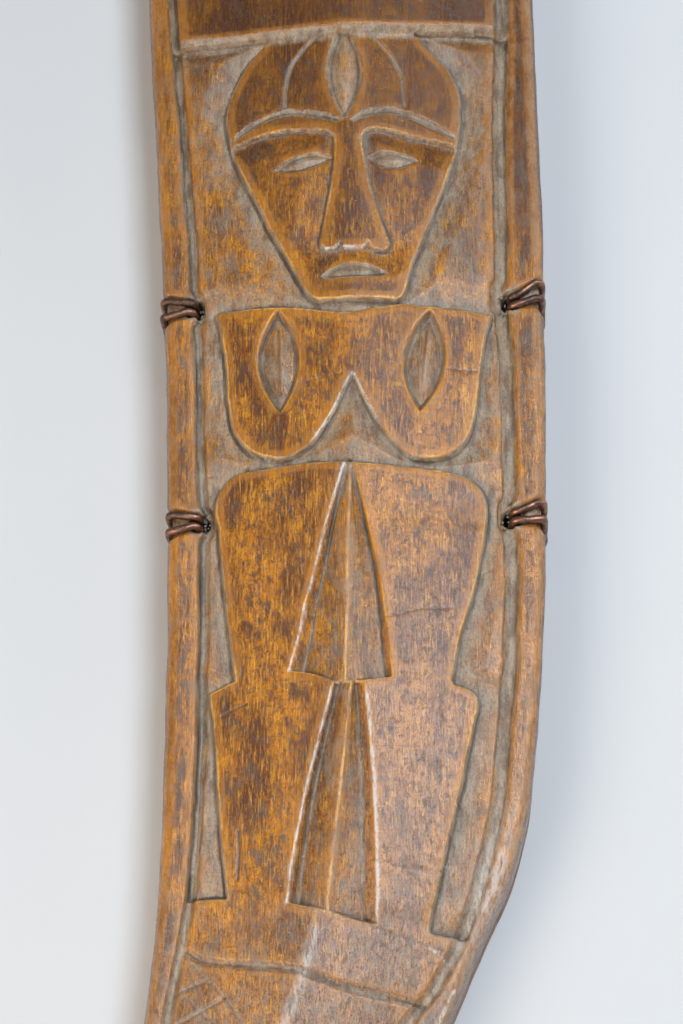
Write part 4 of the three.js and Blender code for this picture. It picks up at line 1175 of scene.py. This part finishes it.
def brass_cap():
    """The cap over the grip's end, with a rounded rim and a filed line."""
    outside = [(0, 17.2, 10.2), (0.3, 17.8, 10.8), (0.8, 18, 11), (1.6, 18, 11),
               (1.85, 17.65, 10.65), (2.15, 17.65, 10.65), (2.4, 18, 11),
               (3.1, 17.9, 10.9), (3.7, 17.5, 10.5), (4.2, 16.7, 9.8), (4.5, 15.6, 8.8)]
    stations = [(cap_low[1] + along, wide, thick, HANDLE_MID) for along, wide, thick in outside]
    stations += [(cap_high[1], 5.3, 2.4, BLADE_MID), (cap_low[1], 5.3, 2.4, BLADE_MID)]
    return loft("brass_butt_cap", ovals(stations), ends=False)


def brass_rove():
    """The washer that the tang's end is hammered down on."""
    outside = [(0, 7, 5), (0.25, 7.4, 5.4), (0.7, 7.5, 5.5), (1.3, 7.35, 5.35), (1.75, 6.8, 4.8), (2, 6, 4)]
    stations = [(rove_low[1] + along, wide, thick, BLADE_MID) for along, wide, thick in outside]
    stations += [(rove_high[1], 5, 2.3, BLADE_MID), (rove_low[1], 5, 2.3, BLADE_MID)]
    return loft("brass_tang_rove", ovals(stations, 48), ends=False)


def domed_pin(name, y):
    """A brass pin right through the grip with a domed head at both ends."""
    _, thick = grip_at(y)
    reach = thick + 0.5
    head = [(0.15, 0), (0.75, 0.07), (1.15, 0.2), (1.4, 0.42), (1.5, 0.7)]
    profile = [(r, drop - reach) for r, drop in head] + [(r, reach - drop) for r, drop in head[::-1]]
    angles = -2 * np.pi * np.arange(28) / 28
    rings = [np.stack([r * np.cos(angles), y + r * np.sin(angles), np.full(28, HANDLE_MID + z)], axis=1)
             for r, z in profile]
    return loft(name, rings)


def crumbs(name, seed):
    """Small lumps of grime and verdigris packed round the wires' holes."""
    rng = np.random.default_rng(seed)
    verts, faces = [], []
    golden = (1 + 5 ** 0.5) / 2
    # an icosahedron's corners and sides
    shape = np.array([(-1, golden, 0), (1, golden, 0), (-1, -golden, 0), (1, -golden, 0),
                      (0, -1, golden), (0, 1, golden), (0, -1, -golden), (0, 1, -golden),
                      (golden, 0, -1), (golden, 0, 1), (-golden, 0, -1), (-golden, 0, 1)])
    shape = shape / np.linalg.norm(shape[0])
    sides = [(0, 11, 5), (0, 5, 1), (0, 1, 7), (0, 7, 10), (0, 10, 11),
             (1, 5, 9), (5, 11, 4), (11, 10, 2), (10, 7, 6), (7, 1, 8),
             (3, 9, 4), (3, 4, 2), (3, 2, 6), (3, 6, 8), (3, 8, 9),
             (4, 9, 5), (2, 4, 11), (6, 2, 10), (8, 6, 7), (9, 8, 1)]
    for _, _, _, hole, y, _ in SPOTS:
        for _ in range(34):
            angle = rng.uniform(0, 2 * math.pi)
            reach = rng.uniform(0.7, 2.3)
            size = rng.uniform(0.14, 0.42)
            place = np.array([hole + reach * math.cos(angle) * 0.9, y + reach * math.sin(angle) * 1.25, 0])
            place[2] = (12.6 if reach < 1.8 else 13.9) + rng.uniform(-0.1, 0.35)
            lump = shape * size * rng.uniform(0.6, 1.2, 3) * rng.uniform(0.8, 1.15, (12, 1)) + place
            faces += [[len(verts) + a, len(verts) + b, len(verts) + c] for a, b, c in sides]
            verts += list(lump)
    return build_mesh(name, np.array(verts) * MM, faces)


# ---- materials ----
class Look:
    """A node material in the making. Lengths in its textures are millimetres in the object's own space."""

    def __init__(self, name):
        self.material = bpy.data.materials.new(name)
        self.material.use_nodes = True
        self.tree = self.material.node_tree
        self.shader = self.tree.nodes["Principled BSDF"]
        self.coords = self.tree.nodes.new("ShaderNodeTexCoord").outputs["Object"]

    def node(self, kind, **settings):
        """A new node of a kind with these settings."""
        made = self.tree.nodes.new(kind)
        for key, value in settings.items():
            setattr(made, key, value)
        return made

    def join(self, source, target):
        self.tree.links.new(source, target)

    def space(self, x, y, z):
        """Coordinates in which one unit is x, y, z millimetres."""
        made = self.node("ShaderNodeVectorMath", operation="MULTIPLY")
        self.join(self.coords, made.inputs[0])
        made.inputs[1].default_value = (1000 / x, 1000 / y, 1000 / z)
        return made.outputs[0]

    def noise(self, x, y, z, detail=3.0, roughness=0.55, distortion=0.0):
        """Noise with bumps of about x, y, z millimetres."""
        made = self.node("ShaderNodeTexNoise")
        self.join(self.space(x, y, z), made.inputs["Vector"])
        made.inputs["Scale"].default_value = 1.0
        made.inputs["Detail"].default_value = detail
        made.inputs["Roughness"].default_value = roughness
        made.inputs["Distortion"].default_value = distortion
        return made.outputs["Fac"]

    def value(self, name):
        """One of the values that the mesh's points carry."""
        return self.node("ShaderNodeAttribute", attribute_name=name).outputs["Fac"]

    def span(self, source, low, high, out_low=0.0, out_high=1.0):
        """source from low..high to out_low..out_high, held at both ends."""
        made = self.node("ShaderNodeMapRange", interpolation_type="SMOOTHSTEP")
        self.join(source, made.inputs["Value"])
        for key, value in zip(("From Min", "From Max", "To Min", "To Max"), (low, high, out_low, out_high)):
            made.inputs[key].default_value = value
        return made.outputs["Result"]

    def math(self, operation, a, b):
        made = self.node("ShaderNodeMath", operation=operation)
        for source, target in ((a, made.inputs[0]), (b, made.inputs[1])):
            if isinstance(source, (int, float)):
                target.default_value = source
            else:
                self.join(source, target)
        return made.outputs[0]

    def mix(self, a, b, factor, blend="MIX"):
        """Colour a turned towards b by factor."""
        made = self.node("ShaderNodeMix", data_type="RGBA", blend_type=blend)
        for source, target in ((factor, made.inputs[0]), (a, made.inputs[6]), (b, made.inputs[7])):
            if isinstance(source, (int, float)):
                target.default_value = source
            elif isinstance(source, tuple):
                target.default_value = (*source, 1)
            else:
                self.join(source, target)
        return made.outputs[2]

    def share(self, source, part):
        return self.math("MULTIPLY", source, part)

    def over(self, colour, paint, source, low, high, part):
        """Colour with paint over it where source goes from low to high, at most by part."""
        return self.mix(colour, paint, self.share(self.span(source, low, high), part))

    def finish(self, colour, roughness, height=None, height_mm=0.1, metallic=0.0, specular=0.5, coat=0.0,
               coat_roughness=0.3):
        """Joins colour, roughness and bumps height_mm high to the shader and gives back the material."""
        put = self.shader.inputs
        self.join(colour, put["Base Color"])
        self.join(roughness, put["Roughness"])
        put["Metallic"].default_value = metallic
        put["Specular IOR Level"].default_value = specular
        put["Coat Weight"].default_value = coat
        put["Coat Roughness"].default_value = coat_roughness
        if height is not None:
            bump = self.node("ShaderNodeBump")
            bump.inputs["Strength"].default_value = 1.0
            bump.inputs["Distance"].default_value = height_mm * MM
            self.join(height, bump.inputs["Height"])
            self.join(bump.outputs[0], put["Normal"])
        return self.material


def carved_wood():
    """Old oiled wood: orange with dark pores and stains, pale rubbed edges and grey-brown grime, with
    painted sheen, painted highlights, and painted shade in the creases and towards the mouth end.
    """
    look = Look("carved_wood_finish")
    broad = look.noise(8, 20, 8, detail=5, roughness=0.6)
    streak = look.noise(0.35, 5, 0.35, detail=5, roughness=0.65, distortion=0.2)
    grain = look.noise(0.2, 2.6, 0.2, detail=3, roughness=0.7)
    mottle = look.noise(2.6, 4, 2.6, detail=9, roughness=0.8)
    fleck = look.noise(0.8, 1.3, 0.8, detail=7, roughness=0.85)
    speck = look.noise(0.3, 0.5, 0.3, detail=3, roughness=0.8)
    dirt = look.value("dirt")

    # the wood's own colours
    colour = look.mix((0.17, 0.045, 0.005), (0.54, 0.185, 0.010), look.span(broad, 0.38, 0.6))
    colour = look.over(colour, (0.92, 0.42, 0.04), streak, 0.51, 0.64, 0.48)
    colour = look.over(colour, (0.06, 0.015, 0.005), mottle, 0.5, 0.59, 0.78)
    colour = look.over(colour, (0.80, 0.35, 0.02), mottle, 0.46, 0.38, 0.5)
    # painted sheen: pale grey-brown where the lamp's reflection falls, broken up by the flecks
    painted_sheen_veil = look.share(look.value("painted_sheen"), look.span(fleck, 0.62, 0.4, 0.35, 1.0))
    colour = look.mix(colour, (0.43, 0.275, 0.205), painted_sheen_veil)
    dark = look.span(fleck, 0.52, 0.57)
    colour = look.mix(colour, (0.055, 0.022, 0.012), look.share(dark, 0.7))
    colour = look.over(colour, (0.06, 0.03, 0.022), grain, 0.53, 0.6, 0.42)
    colour = look.over(colour, (0.90, 0.46, 0.08), grain, 0.45, 0.38, 0.32)

    # smudges, stains, and smoke stain mixed with painted shade that darkens the mouth end
    smudge = look.share(look.span(look.noise(5, 0.6, 5, detail=4), 0.58, 0.64),
                        look.span(broad, 0.46, 0.56))
    colour = look.mix(colour, (0.06, 0.035, 0.03), look.share(smudge, 0.35))
    # painted shade with smoke stain: darkens the mouth end and the upper rims
    colour = look.mix(colour, (0.07, 0.024, 0.009), look.value("smoke_stain_and_painted_shade"))
    blotch = look.noise(1.0, 7, 1.0, detail=7, roughness=0.75)
    stain = look.share(look.value("rim"), look.span(blotch, 0.49, 0.58))
    colour = look.mix(colour, (0.05, 0.022, 0.011), look.share(stain, 0.7))
    colour = look.over(colour, (0.02, 0.01, 0.007), speck, 0.58, 0.64, 0.75)

    # high places and rubbed edges
    proud = look.span(look.value("valley"), -0.04, -0.25)
    proud = look.share(proud, look.span(mottle, 0.3, 0.6, 0.1, 0.45))
    colour = look.mix(colour, (0.62, 0.24, 0.03), proud)
    patches = look.span(look.noise(7, 9, 7, detail=2), 0.4, 0.6)
    broken = look.share(patches, look.span(fleck, 0.62, 0.42, 0.35, 1.0))
    colour = look.over(colour, (0.94, 0.44, 0.06), look.value("wear"), 0.25, 0.8, broken)

    # grime, dust, painted shade in the creases, pale scuffs with painted highlights, and scratches
    uneven = look.span(mottle, 0.35, 0.65, -0.2, 0.2)
    dirty = look.span(look.math("ADD", dirt, uneven), 0.1, 0.95)
    cake = look.noise(1.8, 5, 1.8, detail=6, roughness=0.7)
    grime = look.mix((0.20, 0.14, 0.09), (0.42, 0.335, 0.235), look.span(cake, 0.38, 0.58))
    grime = look.over(grime, (0.09, 0.06, 0.04), speck, 0.5, 0.6, 0.5)
    colour = look.mix(colour, grime, look.share(dirty, 0.84))
    # painted shade: near-black in the creases and hollows, where shade falls
    crease_shade = look.span(look.value("hollow"), 0.05, 0.2)
    colour = look.mix(colour, (0.04, 0.035, 0.03), look.share(crease_shade, look.span(broad, 0.4, 0.6, 0.2, 0.75)))
    colour = look.over(colour, (0.62, 0.6, 0.55), look.noise(0.4, 0.4, 0.4, detail=2), 0.7, 0.76, 0.5)
    # pale scuffs: rubbed raw wood, and partly painted highlights on edges that face the lamp
    rubbed = look.noise(0.7, 2.4, 0.7, detail=6, roughness=0.7)
    scuff_and_highlight = look.share(look.value("scuff_and_highlight"), look.span(rubbed, 0.42, 0.56, 0.12, 0.9))
    colour = look.mix(colour, (0.72, 0.66, 0.60), scuff_and_highlight)
    colour = look.mix(colour, (0.07, 0.05, 0.04), look.share(look.value("scratch"), 0.6))

    rough = look.math("ADD", look.span(mottle, 0.36, 0.62, 0.2, 0.3), look.share(dark, 0.12))
    rough = look.math("ADD", rough, look.share(dirty, 0.16))
    height = look.math("ADD", look.share(streak, 0.6), look.share(fleck, -0.8))
    height = look.math("SUBTRACT", height, look.share(speck, 0.4))
    height = look.math("SUBTRACT", height, look.share(grain, 0.35))
    return look.finish(colour, rough, height, 0.1, specular=0.65)


def back_wood():
    """Plain brown wood with long shaved streaks."""
    look = Look("back_wood_finish")
    broad = look.noise(8, 30, 8, detail=4)
    streak = look.noise(0.7, 16, 0.7, detail=4, roughness=0.6, distortion=0.3)
    mottle = look.noise(2.4, 4, 2.4, detail=5, roughness=0.65)
    colour = look.mix((0.16, 0.068, 0.026), (0.31, 0.145, 0.05), look.span(broad, 0.32, 0.66))
    colour = look.over(colour, (0.40, 0.22, 0.09), streak, 0.52, 0.75, 0.5)
    colour = look.over(colour, (0.07, 0.03, 0.014), mottle, 0.5, 0.7, 0.6)
    rough = look.span(mottle, 0.3, 0.7, 0.42, 0.62)
    return look.finish(colour, rough, look.math("ADD", streak, mottle), 0.12, specular=0.5)


def grip_wood():
    """Dark, handled wood with a thin polish."""
    look = Look("grip_wood_finish")
    broad = look.noise(6, 26, 6, detail=4)
    streak = look.noise(0.6, 12, 0.6, detail=4, roughness=0.6, distortion=0.3)
    colour = look.mix((0.06, 0.026, 0.013), (0.17, 0.07, 0.026), look.span(broad, 0.32, 0.66))
    colour = look.over(colour, (0.26, 0.12, 0.05), streak, 0.52, 0.72, 0.5)
    rough = look.span(look.noise(3, 6, 3, detail=4), 0.3, 0.7, 0.28, 0.46)
    return look.finish(colour, rough, streak, 0.1, specular=0.5, coat=0.15, coat_roughness=0.25)


def metal(name, base, tarnish, bright, grain=(1.5, 1.5, 1.5), rough=(0.3, 0.5), height_mm=0.03):
    """Aged metal: a base colour, tarnish in patches and brighter rubbed places."""
    look = Look(name)
    patch = look.noise(2.4, 2.4, 2.4, detail=5, roughness=0.65)
    fine = look.noise(*grain, detail=4, roughness=0.6)
    colour = look.mix(base, tarnish, look.span(patch, 0.42, 0.62))
    colour = look.over(colour, bright, fine, 0.55, 0.72, 0.6)
    return look.finish(colour, look.span(patch, 0.3, 0.7, *rough), fine, height_mm, metallic=1.0)


def packed_grime():
    """Dull grey-green matter."""
    look = Look("hole_grime_finish")
    tone = look.mix((0.13, 0.10, 0.075), (0.24, 0.25, 0.20), look.span(look.noise(0.5, 0.5, 0.5), 0.4, 0.6))
    tone = look.mix(tone, (0.34, 0.31, 0.25), look.span(look.noise(0.3, 0.3, 0.3), 0.55, 0.7))
    rough = look.span(look.noise(0.4, 0.4, 0.4), 0.3, 0.7, 0.8, 0.95)
    return look.finish(tone, rough, look.noise(0.15, 0.15, 0.15), 0.08)


# ---- the pieces ----
def place(piece, node, body, material, slot):
    """Gives a piece its finish and body and puts it in a CAD node's stead; node None adds it. The slot is
    not used.
    """
    piece.data.materials.append(material)
    if node:
        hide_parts(node)
    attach(piece, body)


place(carved_board(), "face_board", "scabbard", carved_wood(), "carved_wood")

copper = metal("copper_wire_finish", (0.34, 0.17, 0.11), (0.12, 0.075, 0.055), (0.6, 0.42, 0.33),
               (0.5, 0.5, 0.5), (0.36, 0.6))
brass = metal("brass_finish", (0.52, 0.36, 0.15), (0.2, 0.13, 0.055), (0.72, 0.55, 0.28), (2.5, 0.8, 2.5))
steel = metal("steel_finish", (0.42, 0.42, 0.43), (0.2, 0.185, 0.175), (0.62, 0.62, 0.63),
              (14, 0.3, 0.3), (0.24, 0.44))
for number, (name, *spot) in enumerate(SPOTS):
    wire = tube(f"{name}_wire", lashing_path(*spot), WIRE_RADIUS, seed=number + 5)
    place(wire, name, "scabbard", copper, "copper_wire")
place(crumbs("hole_grime", 77), None, "scabbard", packed_grime(), "carved_wood")
for name, y0, y1 in (("front_wire_binding", 198, 218), ("rear_wire_binding", 268, 278)):
    place(coil(f"{name}_coil", y0, y1, 1.2, seed=40 + y0), name, "knife", copper, "copper_wire")
place(plain_board(), "back_board", "scabbard", back_wood(), "back_wood")
place(forged_blade(), "blade", "knife", steel, "steel")
place(carved_grip(), "grip", "knife", grip_wood(), "grip_wood")
place(brass_ferrule(), "ferrule", "knife", brass, "brass_fittings")
place(brass_cap(), "butt_cap", "knife", brass, "brass_fittings")
place(brass_rove(), "tang_rove", "knife", brass, "brass_fittings")
for number, level in enumerate(PIN_LEVELS):
    pin = domed_pin(f"domed_pin_{number + 1}", level)
    place(pin, f"grip_pin_{number + 1}", "knife", brass, "brass_fittings")

# ---- the floor, the light and the camera ----
bpy.ops.mesh.primitive_plane_add(size=8, location=(0, 0, 0))
floor = bpy.context.object
floor.name = "floor"
floor_look = Look("pale_floor")
floor_tone = floor_look.mix((0.66, 0.655, 0.64), (0.70, 0.69, 0.675),
                            floor_look.noise(60, 60, 60, detail=2))
floor_rough = floor_look.span(floor_look.noise(20, 20, 20), 0.3, 0.7, 0.7, 0.8)
floor.data.materials.append(floor_look.finish(floor_tone, floor_rough))


def soft_light(name, spot, target, size, power, colour):
    """A rectangular lamp at a spot, turned to a target."""
    data = bpy.data.lights.new(name, "AREA")
    data.shape = "RECTANGLE"
    data.size, data.size_y = size
    data.energy = power
    data.color = colour
    lamp = bpy.data.objects.new(name, data)
    lamp.location = spot
    lamp.rotation_euler = (Vector(target) - Vector(spot)).to_track_quat("-Z", "Y").to_euler()
    bpy.context.scene.collection.objects.link(lamp)


soft_light("window", (0.285, 0.09, 0.76), (0.01, -0.06, 0), (0.26, 0.3), 5.2, (0.74, 0.86, 1.0))
soft_light("edge", (0.85, 0.4, 0.3), (0, -0.02, 0), (0.4, 0.3), 2.2, (0.84, 0.9, 1.0))
soft_light("fill", (-0.34, -0.36, 0.44), (0, -0.08, 0), (0.4, 0.4), 3.0, (1.0, 0.93, 0.84))
# lamps that face outwards, so that the floor stays pale far from the part
for turn in range(6):
    way = Vector((math.cos(turn * math.pi / 3), math.sin(turn * math.pi / 3), 0))
    spot = 0.9 * way + Vector((0, 0, 1))
    soft_light(f"floor_wash_{turn + 1}", spot, 4 * way, (0.8, 0.8), 14, (0.92, 0.96, 1))

# a dim room whose walls are paler near the floor
world = bpy.data.worlds.new("studio")
world.use_nodes = True
room = world.node_tree
background = room.nodes["Background"]
background.inputs["Color"].default_value = (0.9, 0.93, 1.0, 1)
direction = room.nodes.new("ShaderNodeTexCoord")
split = room.nodes.new("ShaderNodeSeparateXYZ")
height = room.nodes.new("ShaderNodeMapRange")
for key, value in zip(("From Min", "From Max", "To Min", "To Max"), (0.05, 0.3, 0.75, 0.13)):
    height.inputs[key].default_value = value
room.links.new(direction.outputs["Generated"], split.inputs[0])
room.links.new(split.outputs["Z"], height.inputs["Value"])
room.links.new(height.outputs["Result"], background.inputs["Strength"])
bpy.context.scene.world = world
bpy.context.scene.view_settings.view_transform = "Standard"

CAMERA_TILT = math.radians(69)  # above the board's plane
CAMERA_TURN = math.radians(8)  # towards the figure's right
CAMERA_REACH = 0.494
aim = Vector((0, 0, 0.017))
level_reach = math.cos(CAMERA_TILT)
back_way = Vector((math.sin(CAMERA_TURN) * level_reach, -math.cos(CAMERA_TURN) * level_reach,
                   math.sin(CAMERA_TILT)))
right_way = (-back_way).cross(Vector((0, 1, 0))).normalized()
up_way = right_way.cross(-back_way)
camera_data = bpy.data.cameras.new("camera")
camera_data.lens = 100
camera_data.sensor_width = 36
camera_data.sensor_fit = "AUTO"
camera = bpy.data.objects.new("camera", camera_data)
axes = Matrix((right_way, up_way, back_way)).transposed().to_4x4()
camera.matrix_world = Matrix.Translation(aim + back_way * CAMERA_REACH) @ axes
bpy.context.scene.collection.objects.link(camera)
bpy.context.scene.camera = camera
